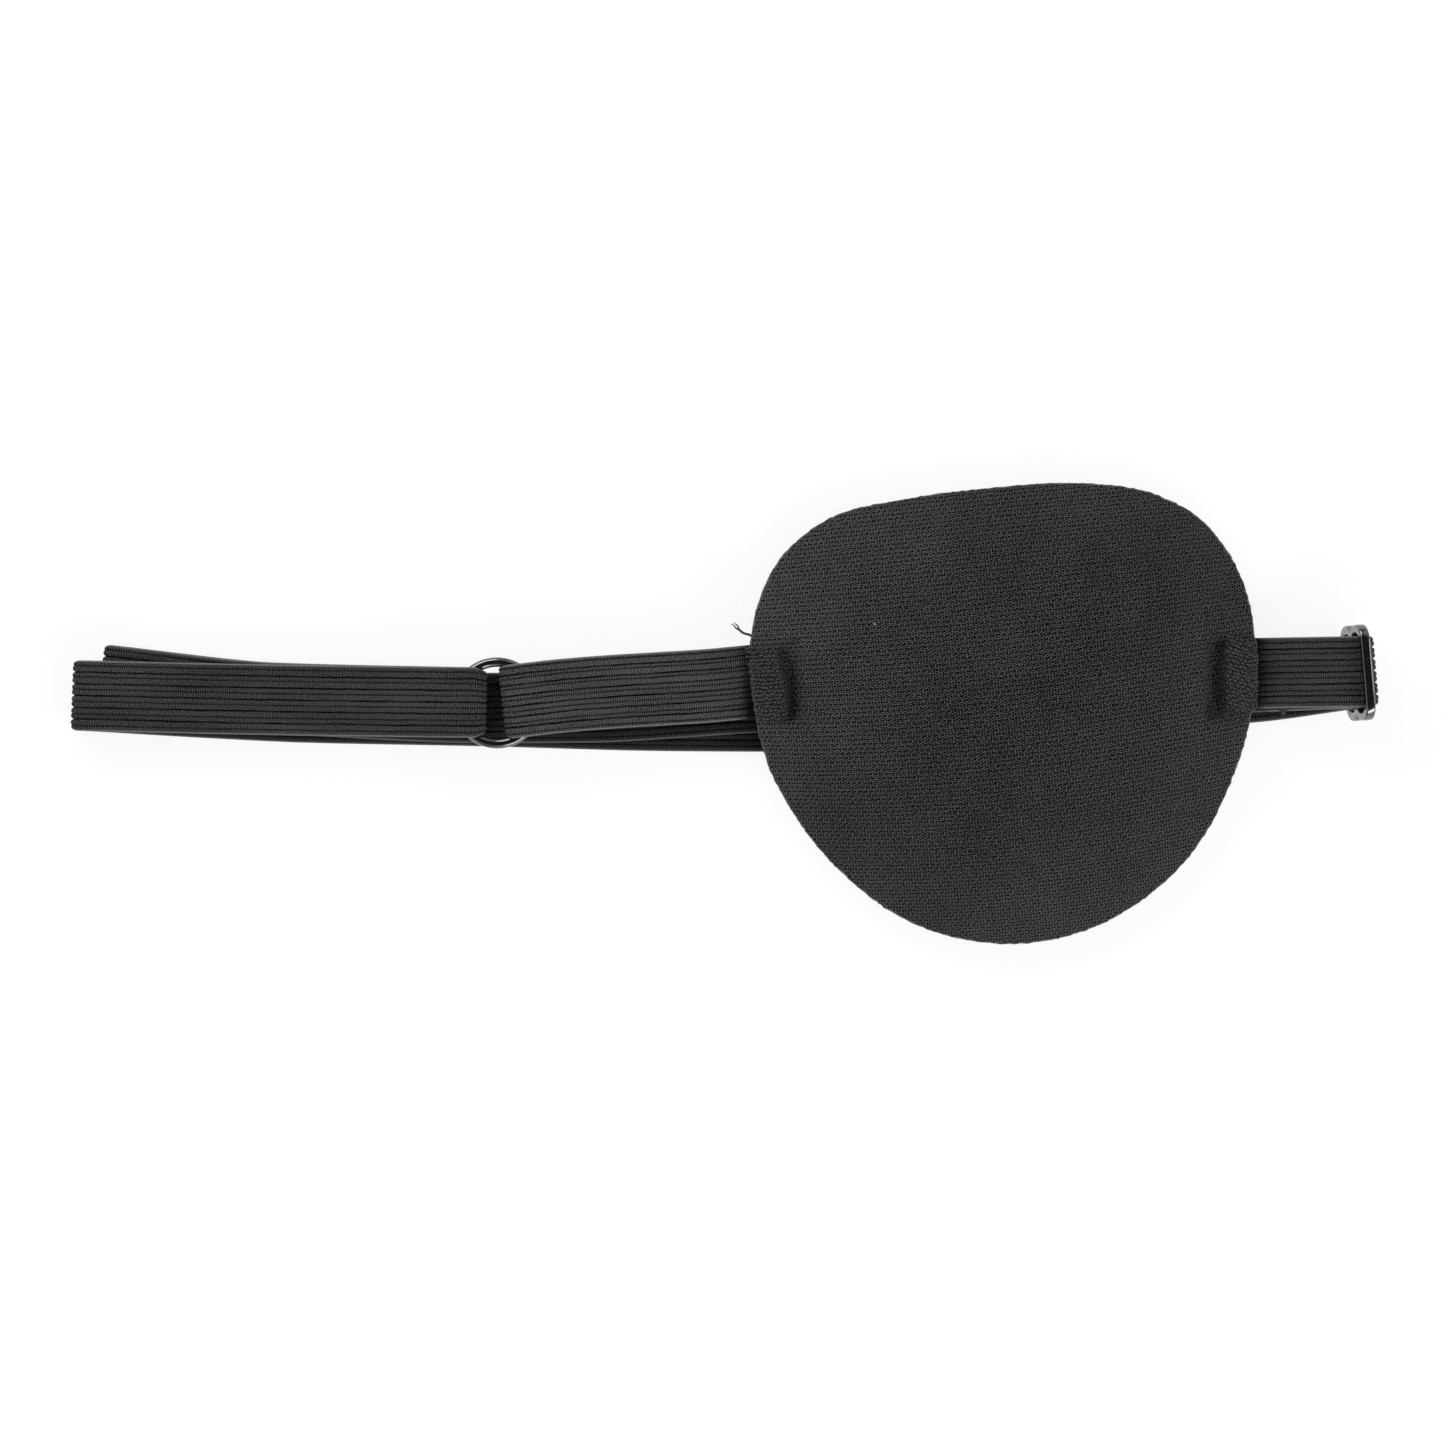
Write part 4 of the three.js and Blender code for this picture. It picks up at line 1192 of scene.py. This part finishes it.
def build_rim_fuzz():
    """Fibre ends that stand out of the cut edge all round the patch."""
    yarns = []
    for _ in range(FUZZ_COUNT):
        rim_x, rim_y = plain_rim[chance.randrange(OUTLINE_STEPS)]
        low = float(underside_height(rim_x, rim_y))
        high = float(face_top(rim_x, rim_y))
        out = math.atan2(rim_y, rim_x) + chance.uniform(-1, 1)
        length = FUZZ_LENGTH * chance.uniform(FUZZ_SHORTEST_SHARE, 1)
        start = np.array((rim_x, rim_y, mix(low, high, chance.random())))
        bend = chance.uniform(-1, 1)
        yarns.append(fibre(start, out, bend, bend / 2, length, FUZZ_RADIUS))
    fuzz = tubes_piece("rim_fuzz", yarns)
    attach(fuzz, "patch")
    return fuzz


def build_fray():
    """The raw ends of the yarns where the strap was cut, thickest at one corner."""
    yarns = []
    y_middle = sewn_leg.y(SEWN_END_X)
    for index in range(FRAY_COUNT):
        in_tuft = index < FRAY_COUNT * FRAY_TUFT_SHARE
        across = -chance.uniform(*FRAY_TUFT_PLACE_SHARES) if in_tuft else chance.uniform(-1, 1)
        lean = chance.uniform(*(FRAY_TUFT_LEANS if in_tuft else FRAY_LEANS))
        length = FRAY_LENGTH * chance.uniform(FRAY_SHORTEST_SHARE, 1)
        start = np.array(
            (
                SEWN_END_X + chance.uniform(0, 1) * FRAY_LENGTH / 3,
                y_middle + across * STRAP_WIDTH / 2,
                SEAM_END_Z + chance.uniform(-1, 1) * HALF_STRAP * FRAY_DEPTH_SHARE,
            )
        )
        heading = math.pi - lean * (1 if in_tuft else math.copysign(1, across))
        droop = chance.uniform(*FRAY_DROOP_SHARES)
        turn = chance.uniform(-FRAY_TURN, FRAY_TURN)
        yarns.append(fibre(start, heading, turn, droop, length, FRAY_RADIUS))
    fray = tubes_piece("cut_end_fray", yarns)
    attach(fray, "slider_loops")
    return fray


def build_end_seam():
    """Stitches over and under the strap where its end is sewn back on itself."""
    middle = (SEAM_X, upper_run.y(SEAM_X))
    half_width = STRAP_WIDTH / 2 - END_SEAM_PITCH
    pieces = []
    for kind, middle_z, way in (("needle", SEAM_END_Z, 1), ("bobbin", SEAM_LEG_Z, -1)):
        level = middle_z + way * (HALF_STRAP + LAYER_GAP / 2)
        stitches = tack_stitches(
            middle, half_width, SEAM_GRID, SEAM_TURN * way, lambda x, y: level, 0
        )
        name, node = f"end_seam_{kind}_stitches", f"end_seam_{kind}_thread"
        pieces.append(thread_piece(name, stitches, THREAD_DIAMETER / 2, "slider_loops", node))
    return pieces


def build_ring():
    """The ring's round wire."""
    turn = np.arange(RING_STEPS) / RING_STEPS * 2 * math.pi
    lean = np.arange(RING_SECTION_STEPS) / RING_SECTION_STEPS * 2 * math.pi
    radius = RING_RADIUS + RING_WIRE / 2 * np.cos(lean)[None, :]
    points = np.stack(
        [
            RING_X + radius * np.cos(turn)[:, None],
            RING_Y + radius * np.sin(turn)[:, None],
            np.broadcast_to(RING_Z + RING_WIRE / 2 * np.sin(lean)[None, :], (len(turn), len(lean))),
        ],
        axis=-1,
    )
    quads, _ = tube_faces(RING_STEPS + 1, RING_SECTION_STEPS)
    quads = quads % (RING_STEPS * RING_SECTION_STEPS)
    ring = piece_from("ring_wire", points.reshape(-1, 3), quads.tolist())
    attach(ring, "ring")
    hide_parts("ring")
    return ring


def arc(centre_x, centre_y, radius, start, end):
    turns = np.linspace(start, end, SLIDER_ARC_STEPS)
    return np.stack([centre_x + radius * np.cos(turns), centre_y + radius * np.sin(turns)], axis=-1)


def slider_outlines():
    """The slider's outer line and its two slots, each with the material on its left."""
    radius = SLOT_CORNER_RADIUS + SLIDER_BAR
    corner_x = SLIDER_SLOT_WIDTH / 2 + SLIDER_BAR - radius
    low_y = radius - SLIDER_BAR / 2
    high_y = SLIDER_LENGTH / 2 - radius
    notch = math.asin(low_y / radius)
    quarter = math.pi / 2
    outer = []
    for way, start in ((1, 0), (-1, math.pi)):
        x, side, top, end = way * corner_x, start + quarter, way * high_y, start + 2 * quarter
        outer += [
            arc(x, way * low_y, radius, start - notch, start)[1:],
            arc(x, top, radius, start, side),
            arc(-x, top, radius, side, end),
            arc(-x, way * low_y, radius, end, end + notch)[1:],
        ]
    outlines = [np.concatenate(outer)]
    slot_x = SLIDER_SLOT_WIDTH / 2 - SLOT_CORNER_RADIUS
    slot_y = SLIDER_SLOT / 2 - SLOT_CORNER_RADIUS
    for way in (1, -1):
        middle_y = way * (SLIDER_BAR + SLIDER_SLOT) / 2
        corners = ((slot_x, slot_y), (-slot_x, slot_y), (-slot_x, -slot_y), (slot_x, -slot_y))
        slot = np.concatenate(
            [
                arc(x, middle_y + y, SLOT_CORNER_RADIUS, index * quarter, (index + 1) * quarter)
                for index, (x, y) in enumerate(corners)
            ]
        )
        outlines.append(slot[::-1])
    return outlines


def build_slider():
    """A frame of three bars with well rounded edges, stood up in the strap."""
    half = SLIDER_THICKNESS / 2
    lean = np.linspace(0, math.pi, 2 * SLIDER_ROUND_STEPS + 1)
    mesh = bmesh.new()
    rims = {1: [], -1: []}
    for outline in slider_outlines():
        ahead = np.roll(outline, -1, axis=0) - outline
        behind = outline - np.roll(outline, 1, axis=0)
        tangent = unit(unit(ahead) + unit(behind))
        inward = np.stack([-tangent[:, 1], tangent[:, 0]], axis=-1)
        levels = []
        for turn in lean:
            line = outline + inward * SLIDER_EDGE_RADIUS * (1 - math.sin(turn))
            height = math.copysign(half - SLIDER_EDGE_RADIUS, math.cos(turn))
            height += SLIDER_EDGE_RADIUS * math.cos(turn)
            levels.append([mesh.verts.new((x, y, height)) for x, y in line])
        count = len(outline)
        for near, far in zip(levels, levels[1:]):
            for index in range(count):
                following = (index + 1) % count
                mesh.faces.new((near[index], far[index], far[following], near[following]))
        for way, level in ((1, levels[0]), (-1, levels[-1])):
            rims[way] += [
                mesh.edges.get((level[index], level[(index + 1) % count])) for index in range(count)
            ]
    for edges in rims.values():
        bmesh.ops.triangle_fill(mesh, edges=edges, use_beauty=True)
    bmesh.ops.recalc_face_normals(mesh, faces=mesh.faces)
    for face in mesh.faces:
        face.smooth = True
    upright = Matrix(((0, 0, 1), (1, 0, 0), (0, 1, 0))).to_4x4()
    turned = Matrix.Rotation(SLIDER_TURN, 4, "Z") @ Matrix.Rotation(SLIDER_LEAN, 4, "Y") @ upright
    mesh.transform(Matrix.Translation((SLIDER_X, SLIDER_Y, SLIDER_Z)) @ turned)
    mesh.transform(Matrix.Translation(ORIGIN) @ Matrix.Scale(MM, 4))
    data = bpy.data.meshes.new("slider_frame")
    mesh.to_mesh(data)
    mesh.free()
    slider = placed("slider_frame", data)
    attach(slider, "slider")
    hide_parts("slider")
    return slider


class Signal:
    """A number that a node gives. Arithmetic on it adds nodes."""

    def __init__(self, graph, socket):
        self.graph = graph
        self.socket = socket

    def __add__(self, other):
        return self.graph.math("ADD", self, other)

    def __sub__(self, other):
        return self.graph.math("SUBTRACT", self, other)

    def __rsub__(self, other):
        return self.graph.math("SUBTRACT", other, self)

    def __mul__(self, other):
        return self.graph.math("MULTIPLY", self, other)

    def __truediv__(self, other):
        return self.graph.math("DIVIDE", self, other)

    __radd__ = __add__
    __rmul__ = __mul__

    def fract(self):
        return self.graph.math("FRACT", self)

    def floor(self):
        return self.graph.math("FLOOR", self)

    def size(self):
        return self.graph.math("ABSOLUTE", self)

    def wave(self):
        """A wave from 0 to 1, with one period for each 1 of this number."""
        return self.graph.math("SINE", self * (2 * math.pi)) * 0.5 + 0.5

    def ease(self, low, high, first=0.0, last=1.0):
        """Smooth step from first at low to last at high."""
        limits = {"From Min": low, "From Max": high, "To Min": first, "To Max": last}
        return self.graph.signal(
            "ShaderNodeMapRange",
            {"Value": self, **limits},
            "Result",
            interpolation_type="SMOOTHSTEP",
        )


class Graph:
    """A tree of shader nodes, put together one node at a time."""

    def __init__(self, tree):
        self.tree = tree

    def feed(self, socket, value):
        if isinstance(value, Signal):
            value = value.socket
        if isinstance(value, bpy.types.NodeSocket):
            self.tree.links.new(value, socket)
        else:
            socket.default_value = value

    def node(self, kind, inputs, **settings):
        node = self.tree.nodes.new(kind)
        for key, value in settings.items():
            setattr(node, key, value)
        for key, value in inputs.items():
            self.feed(node.inputs[key], value)
        return node

    def signal(self, kind, inputs, output=0, **settings):
        return Signal(self, self.node(kind, inputs, **settings).outputs[output])

    def math(self, operation, *values):
        return self.signal("ShaderNodeMath", dict(enumerate(values)), operation=operation)

    def glow(self, strength, kind="ShaderNodeBackground"):
        """White light of a strength."""
        return self.node(kind, {"Color": (1, 1, 1, 1), "Strength": strength}).outputs[0]

    def mixed(self, share, first, second):
        """A shader between two, at a share of the way."""
        return self.node("ShaderNodeMixShader", {0: share, 1: first, 2: second}).outputs[0]


class Shade(Graph):
    """A procedural material."""

    def __init__(self, name):
        self.material = bpy.data.materials.new(name)
        self.material.use_nodes = True
        super().__init__(self.material.node_tree)
        self.shader = self.tree.nodes["Principled BSDF"]

    def cloth_place(self):
        """Place on the cloth in millimetres."""
        cloth_map = self.node("ShaderNodeUVMap", {}, uv_map=CLOTH_MAP)
        split = self.node("ShaderNodeSeparateXYZ", {"Vector": cloth_map.outputs[0]})
        return Signal(self, split.outputs[0]), Signal(self, split.outputs[1])

    def object_place(self):
        """Place in the object in millimetres, as a vector."""
        place = self.node("ShaderNodeTexCoord", {}).outputs["Object"]
        inputs = {0: place, "Scale": 1 / MM}
        return self.node("ShaderNodeVectorMath", inputs, operation="SCALE").outputs[0]

    def vector(self, *values):
        return self.node("ShaderNodeCombineXYZ", dict(enumerate(values))).outputs[0]

    def length(self, first, second):
        """Length of a line with these two legs."""
        return self.math("SQRT", first * first + second * second)

    def mottle(self, vector, size, detail=1.0):
        """Soft noise from 0 to 1 with lumps of a size in millimetres."""
        inputs = {"Vector": vector, "Scale": 1 / size, "Detail": detail}
        return self.signal("ShaderNodeTexNoise", inputs)

    def lumps(self, u, v, seed, size, detail=1.0):
        """Soft noise on the cloth map. Another seed gives other noise."""
        return self.mottle(self.vector(u, v, seed), size, detail)

    def cells(self, vector, size):
        """Distance to the nearest of scattered points, which lie about a size apart."""
        inputs = {"Vector": vector, "Scale": 1 / size}
        return self.signal("ShaderNodeTexVoronoi", inputs, "Distance")

    def scatter(self, *values):
        """A number from 0 to 1 that differs from cell to cell."""
        inputs = {"Vector": self.vector(*values)}
        return self.signal("ShaderNodeTexWhiteNoise", inputs, "Value", noise_dimensions="3D")

    def attribute(self, name):
        return self.signal("ShaderNodeAttribute", {}, "Fac", attribute_name=name)

    def tint(self, share, first, second):
        """A colour between two, at a share of the way."""
        inputs = {"Factor": share, 6: first, 7: second}
        return self.node("ShaderNodeMix", inputs, data_type="RGBA", clamp_factor=True).outputs[2]

    def finish(self, colour, roughness, height, depth, **plain):
        """Joins colour, roughness and a bump of a depth in millimetres to the shader."""
        self.feed(self.shader.inputs["Base Color"], colour)
        self.feed(self.shader.inputs["Roughness"], roughness)
        bump = self.node("ShaderNodeBump", {"Height": height, "Distance": depth * MM})
        self.feed(self.shader.inputs["Normal"], bump.outputs[0])
        for name, value in plain.items():
            self.shader.inputs[name.replace("_", " ")].default_value = value
        return self.material


def paint(red, green, blue):
    """A colour as it is seen on a screen, 0 to 255, for a shader's socket."""
    shares = [value / 255 for value in (red, green, blue)]
    linear = [
        share / 12.92 if share <= 0.04045 else ((share + 0.055) / 1.055) ** 2.4 for share in shares
    ]
    return (*linear, 1)


def specks(shade, u, v, colour, light):
    """Small pale specks of lint, scattered far apart."""
    speck = 1 - shade.cells(shade.vector(u, v, 2.0), SPECK_PITCH).ease(SPECK_SHARE / 2, SPECK_SHARE)
    return shade.tint(speck * 0.85, colour, light)


def knit_material(name, dark, body, light):
    """Fine knit: rows of small holes, each row set half a stitch on, and lumps of yarn between."""
    shade = Shade(name)
    u, v = shade.cloth_place()
    pressed = shade.attribute("pressed")
    drift_u = (shade.lumps(u, v, 0.0, KNIT_DRIFT_SIZE) - 0.5) * KNIT_DRIFT
    drift_v = (shade.lumps(u, v, 9.0, KNIT_DRIFT_SIZE) - 0.5) * KNIT_DRIFT
    row_place = (v + drift_v) / KNIT_ROW
    row = row_place.floor()
    wale_place = (u + drift_u) / KNIT_WALE + row * 0.5
    wale = wale_place.floor()
    across = (wale_place.fract() - HOLE_SHARE) * KNIT_WALE
    up = (row_place.fract() - 0.5) * KNIT_ROW
    hole_size = shade.length(across, up)
    dash_size = shade.length((across + DASH_SETBACK) * DASH_FLATNESS, up + DASH_RADIUS / 4)
    firm = shade.scatter(wale, row, 0.0)
    firm_dash = shade.scatter(wale, row, 5.0)
    hole = (1 - hole_size.ease(HOLE_RADIUS * 0.5, HOLE_RADIUS)) * (firm * 0.4 + 0.9)
    dash = (1 - dash_size.ease(DASH_RADIUS * 0.3, DASH_RADIUS)) * (firm_dash * 0.5 + 0.6)
    bowed = (wale_place + 0.2).wave() * 0.08
    fine_row = shade.lumps(u * 0.5, v, 12.0, ROW_LUMP)
    from_row = (row_place.fract() - 0.5).size() + bowed
    crease = from_row.ease(0.4, 0.53) * (fine_row * 0.7 + 0.1)
    loop = 1 - (hole_size - LOOP_REACH).size().ease(0.0, LOOP_REACH / 2)
    hollow = shade.math("MAXIMUM", shade.math("MAXIMUM", hole, dash), crease)
    hollow = hollow * (1 - pressed * 0.6)
    fine = shade.lumps(u * 0.75, v, 3.0, YARN_LUMP)
    slow = shade.lumps(u, v, 5.0, CLOTH_LUMP, 2.0)
    # Painted light: the knit grows lighter towards the dome's rim, most to the upper left and lower
    # right, where the slopes face the lamps, and not on the sewn ridges
    rim_light_u = (u - RIM_LIGHT_LEAN) / RIM_LIGHT_SPREAD
    rim_light_v = v / RIM_LIGHT_SPREAD
    painted_rim_light = (rim_light_u * rim_light_u + rim_light_v * rim_light_v - rim_light_u * rim_light_v * RIM_LIGHT_SKEW) * (1 - pressed)
    share = (fine - 0.5) * 3.4 + (slow - 0.5) * 0.3 + loop * 0.5 + painted_rim_light * 0.22 + 0.1
    colour = shade.tint(hollow, shade.tint(share, body, light), dark)
    # Painted shade in the valley past each tack's sewn ridge, broken up by noise
    shade_breakup = shade.lumps(u, v, 6.0, SHADE_BREAKUP_LUMP, 2.0).ease(0.42, 0.56)
    painted_valley_shade = shade.attribute("painted_valley_shade") * (shade_breakup * 0.7 + 0.1)
    colour = shade.tint(pressed * 0.25 + painted_valley_shade, colour, dark)
    colour = specks(shade, u, v, colour, FACE_SPECK)
    # The cut edge: partly lighter cut yarn, partly a painted highlight in patches
    glint = shade.lumps(u, v, 15.0, GLINT_LUMP).ease(0.42, 0.58)
    colour = shade.tint(shade.attribute("cut_edge") * (glint * 0.5 + 0.3), colour, CUT_YARN_AND_HIGHLIGHT)
    height = fine * 0.5 - hollow
    return shade.finish(colour, 0.9, height, CLOTH_BUMP, Specular_IOR_Level=0.02, **CLOTH_SHEEN)


def elastic_material(name, ribs, dot_shares, dark, body, light):
    """Knitted elastic: a dark line between ribs, a dotted one along each rib, and cross threads.
    The lines are partly the knit's dark stitches and partly painted shadow in the grooves and
    creases.
    """
    shade = Shade(name)
    dot_middle, dot_drift = dot_shares
    u, v = shade.cloth_place()
    rib = STRAP_WIDTH / ribs
    wander = shade.lumps(u, v * 0.5, 0.0, WANDER_SIZE) - 0.5
    rib_place = (u + STRAP_WIDTH / 2 + wander * LINE_WANDER) / rib
    in_rib = rib_place.fract()
    from_line = (0.5 - (in_rib - 0.5).size()) * rib
    over_all = ((u + STRAP_WIDTH / 2) / STRAP_WIDTH).fract()
    fine = shade.lumps(u * 1.3, v, 3.0, YARN_LUMP)
    uneven = shade.scatter(rib_place.floor(), 0.0, 2.0) - 0.5
    dot_share = (over_all - 0.5) * dot_drift + uneven * 0.12 + dot_middle
    from_dots = (in_rib - dot_share).size() * rib
    chain = ((v + wander * 0.5) / CHAIN_PITCH + from_dots * CHAIN_SLANT).wave()
    faint = shade.lumps(u, v * 0.2, 7.0, LINE_LUMP).ease(0.3, 0.7)
    ragged = from_line + (fine - 0.5) * LINE_RAGGEDNESS
    line = (1 - ragged.ease(LINE_WIDTH * 0.4, LINE_WIDTH)) * (faint * 0.35 + 0.7)
    dots = (1 - from_dots.ease(DOT_WIDTH * 0.4, DOT_WIDTH)) * (1.5 - chain) * (faint * 0.4 + 0.7)
    hatch = 1 - from_dots.ease(HATCH_REACH * 0.3, HATCH_REACH)
    slow = shade.lumps(u, v * 0.3, 5.0, STRAP_LUMP, 2.0)
    share = (chain - 0.5) * hatch * 1.2 + (fine - 0.5) * 3.0 + (slow - 0.5) * 0.5 + 0.42
    # Painted shadow in the grooves between ribs and in the creases on their crests, broken up by
    # the chain stitches
    shadow = shade.math("MAXIMUM", line, dots)
    colour = shade.tint(shadow, shade.tint(share, body, light), dark)
    # Lighter edges, partly the edge yarn's fuzz and partly a painted highlight
    from_edge = (over_all - 0.5).size() * -1 + 0.5
    selvedge_and_highlight = 1 - from_edge.ease(SELVEDGE_SHARE * 0.3, SELVEDGE_SHARE)
    colour = shade.tint(selvedge_and_highlight * (fine * 1.4 - 0.1), colour, SELVEDGE_YARN_AND_HIGHLIGHT)
    colour = specks(shade, u, v, colour, STRAP_SPECK)
    # Painted shade where a strap lies under other runs or by the patch's rim
    colour = shade.tint(shade.attribute("painted_tuck_shade") * TUCKED_SHADE_SHARE, colour, dark)
    height = chain * hatch * 0.5 + fine * 0.3 - shadow * 0.8
    return shade.finish(colour, 0.85, height, CLOTH_BUMP, Specular_IOR_Level=0.05, **CLOTH_SHEEN)


def foam_material(name, dark, light):
    """Open foam, whose cells show at the cut edge."""
    shade = Shade(name)
    cell = shade.cells(shade.object_place(), FOAM_CELL)
    colour = shade.tint(cell.ease(0.1, 0.7), dark, light)
    return shade.finish(colour, 0.95, cell, FOAM_BUMP, Specular_IOR_Level=0.2)


def thread_material(name, dark, light):
    """Twisted sewing thread with a slight polyester shine."""
    shade = Shade(name)
    u, v = shade.cloth_place()
    fine = shade.lumps(u * 2, v * 2, 0.0, THREAD_LUMP, 2.0)
    twist = ((u - v) / THREAD_DIAMETER).wave()
    colour = shade.tint(fine * 0.8 + twist * 0.35 - 0.1, dark, light)
    return shade.finish(colour, 0.55, twist * 0.5 + fine, THREAD_BUMP, Specular_IOR_Level=0.4)


def gloss_material(name, dark, light):
    """Black enamel on metal: a deep gloss, a little uneven, with finer marks."""
    shade = Shade(name)
    place = shade.object_place()
    waves = shade.mottle(place, ENAMEL_WAVE)
    marks = shade.mottle(place, ENAMEL_MARK, 3.0)
    colour = shade.tint(marks.ease(0.45, 0.8), dark, light)
    roughness = marks.ease(0.35, 0.8) * 0.12 + 0.12
    gloss = {"Specular_IOR_Level": 1.0, "IOR": 1.6, "Coat_Weight": 0.6}
    return shade.finish(colour, roughness, waves, ENAMEL_BUMP, **gloss)


def build_floor():
    """A white table. Seen or mirrored it glows to plain white, and it keeps a soft shadow."""
    half = FLOOR_SIZE / 2
    mesh = bpy.data.meshes.new("table")
    corners = [(-half, -half, 0), (half, -half, 0), (half, half, 0), (-half, half, 0)]
    mesh.from_pydata(corners, [], [(0, 1, 2, 3)])
    floor = placed("table", mesh)
    shade = Shade("white_table")
    grain = shade.mottle(shade.object_place(), TABLE_LUMP, 2.0)
    shade.feed(shade.shader.inputs["Base Color"], shade.tint(grain, *TABLE_TONES))
    shade.shader.inputs["Roughness"].default_value = 1.0
    shade.shader.inputs["Specular IOR Level"].default_value = 0.0
    path = shade.node("ShaderNodeLightPath", {})
    seen = Signal(shade, path.outputs["Is Camera Ray"])
    for kind in ("Is Glossy Ray", "Is Transmission Ray"):
        seen = shade.math("MAXIMUM", seen, path.outputs[kind])
    glow = shade.glow(FLOOR_GLOW, "ShaderNodeEmission")
    surface = shade.mixed(seen * FLOOR_GLOW_SHARE, shade.shader.outputs[0], glow)
    shade.feed(shade.tree.nodes["Material Output"].inputs["Surface"], surface)
    mesh.materials.append(shade.material)


def build_world():
    """White all round for what is seen and mirrored, darker straight overhead, dim as a light."""
    world = bpy.data.worlds.new("studio")
    bpy.context.scene.world = world
    world.use_nodes = True
    world.node_tree.nodes.clear()
    graph = Graph(world.node_tree)
    path = graph.node("ShaderNodeLightPath", {})
    place = graph.node("ShaderNodeTexCoord", {}).outputs["Generated"]
    rise = graph.signal("ShaderNodeSeparateXYZ", {0: place}, 2)
    room_noise = {"Vector": place, "Scale": ROOM_SCALE, "Detail": 0}
    room = graph.signal("ShaderNodeTexNoise", room_noise)
    tone = rise.ease(*OVERHEAD_RISES, 1.0, OVERHEAD_TONE) * room.ease(*ROOM_LUMPS, ROOM_TONE, 1.0)
    mirrored = graph.mixed(path.outputs["Is Glossy Ray"], graph.glow(AMBIENT), graph.glow(tone))
    seen = graph.mixed(path.outputs["Is Camera Ray"], mirrored, graph.glow(1.0))
    graph.node("ShaderNodeOutputWorld", {0: seen})


def build_lamps():
    for plan in LAMPS:
        data = bpy.data.lights.new(plan["name"], "AREA")
        data.energy = plan["power"]
        data.shape = "RECTANGLE"
        data.size = plan["width"]
        data.size_y = plan["height"]
        lamp = placed(plan["name"], data)
        lamp.location = plan["place"]
        lamp.rotation_euler = (-Vector(plan["place"])).to_track_quat("-Z", "Y").to_euler()


def build_camera():
    """Straight above, as the photograph was taken."""
    data = bpy.data.cameras.new("camera")
    data.sensor_width = SENSOR_WIDTH
    data.lens = SENSOR_WIDTH * CAMERA_DISTANCE / VIEW_WIDTH
    camera = placed("camera", data)
    x, y, z = CAMERA_AIM
    camera.location = (x * MM, y * MM, (z + CAMERA_DISTANCE) * MM)
    bpy.context.scene.camera = camera


def dress(pieces, material):
    for piece in pieces:
        piece.data.materials.clear()
        piece.data.materials.append(material)


# Colours as they are seen: dark, middle and light
FACE_TONES = (paint(0, 0, 0), paint(10, 10, 11), paint(103, 104, 107))
LINING_TONES = (paint(16, 16, 17), paint(42, 42, 44), paint(76, 77, 79))
STRAP_TONES = (paint(0, 0, 0), paint(7, 7, 7), paint(93, 93, 93))
TAB_TONES = (paint(1, 1, 2), paint(10, 10, 11), paint(107, 109, 111))
FOAM_TONES = (paint(24, 24, 25), paint(58, 58, 60))
THREAD_TONES = (paint(28, 29, 31), paint(88, 89, 92))
TAIL_TONES = (paint(14, 14, 15), paint(56, 56, 58))
FIBRE_TONES = (paint(44, 44, 45), paint(110, 109, 107))
ENAMEL_TONES = (paint(14, 14, 15), paint(32, 32, 34))
TABLE_TONES = (paint(240, 240, 240), paint(244, 244, 244))
FACE_SPECK = paint(185, 186, 188)
STRAP_SPECK = paint(150, 149, 146)
CUT_YARN_AND_HIGHLIGHT = paint(132, 133, 135)
SELVEDGE_YARN_AND_HIGHLIGHT = paint(150, 149, 147)

build_camera()
face, foam, lining = build_patch()
tack_pieces = build_tacks()
tail = build_thread_tail()
rim_fuzz = build_rim_fuzz()
tab = build_tab()
straps = build_long_strap()
fray = build_fray()
seam_pieces = build_end_seam()
ring = build_ring()
slider = build_slider()

dress([face], knit_material("face_knit", *FACE_TONES))
dress([lining], knit_material("lining_knit", *LINING_TONES))
dress([foam], foam_material("foam_black", *FOAM_TONES))
strap_elastic = elastic_material("elastic_black", STRAP_RIBS, STRAP_DOT_SHARES, *STRAP_TONES)
tab_elastic = elastic_material("elastic_tab", TAB_RIBS, TAB_DOT_SHARES, *TAB_TONES)
dress(straps, strap_elastic)
dress([tab], tab_elastic)
threads = [*tack_pieces, *seam_pieces]
dress(threads, thread_material("black_thread", *THREAD_TONES))
dress([tail], thread_material("loose_thread", *TAIL_TONES))
dress([rim_fuzz, fray], thread_material("fibre_ends", *FIBRE_TONES))
dress([ring, slider], gloss_material("black_enamel", *ENAMEL_TONES))

build_floor()
build_world()
build_lamps()
bpy.context.scene.view_settings.view_transform = "Standard"
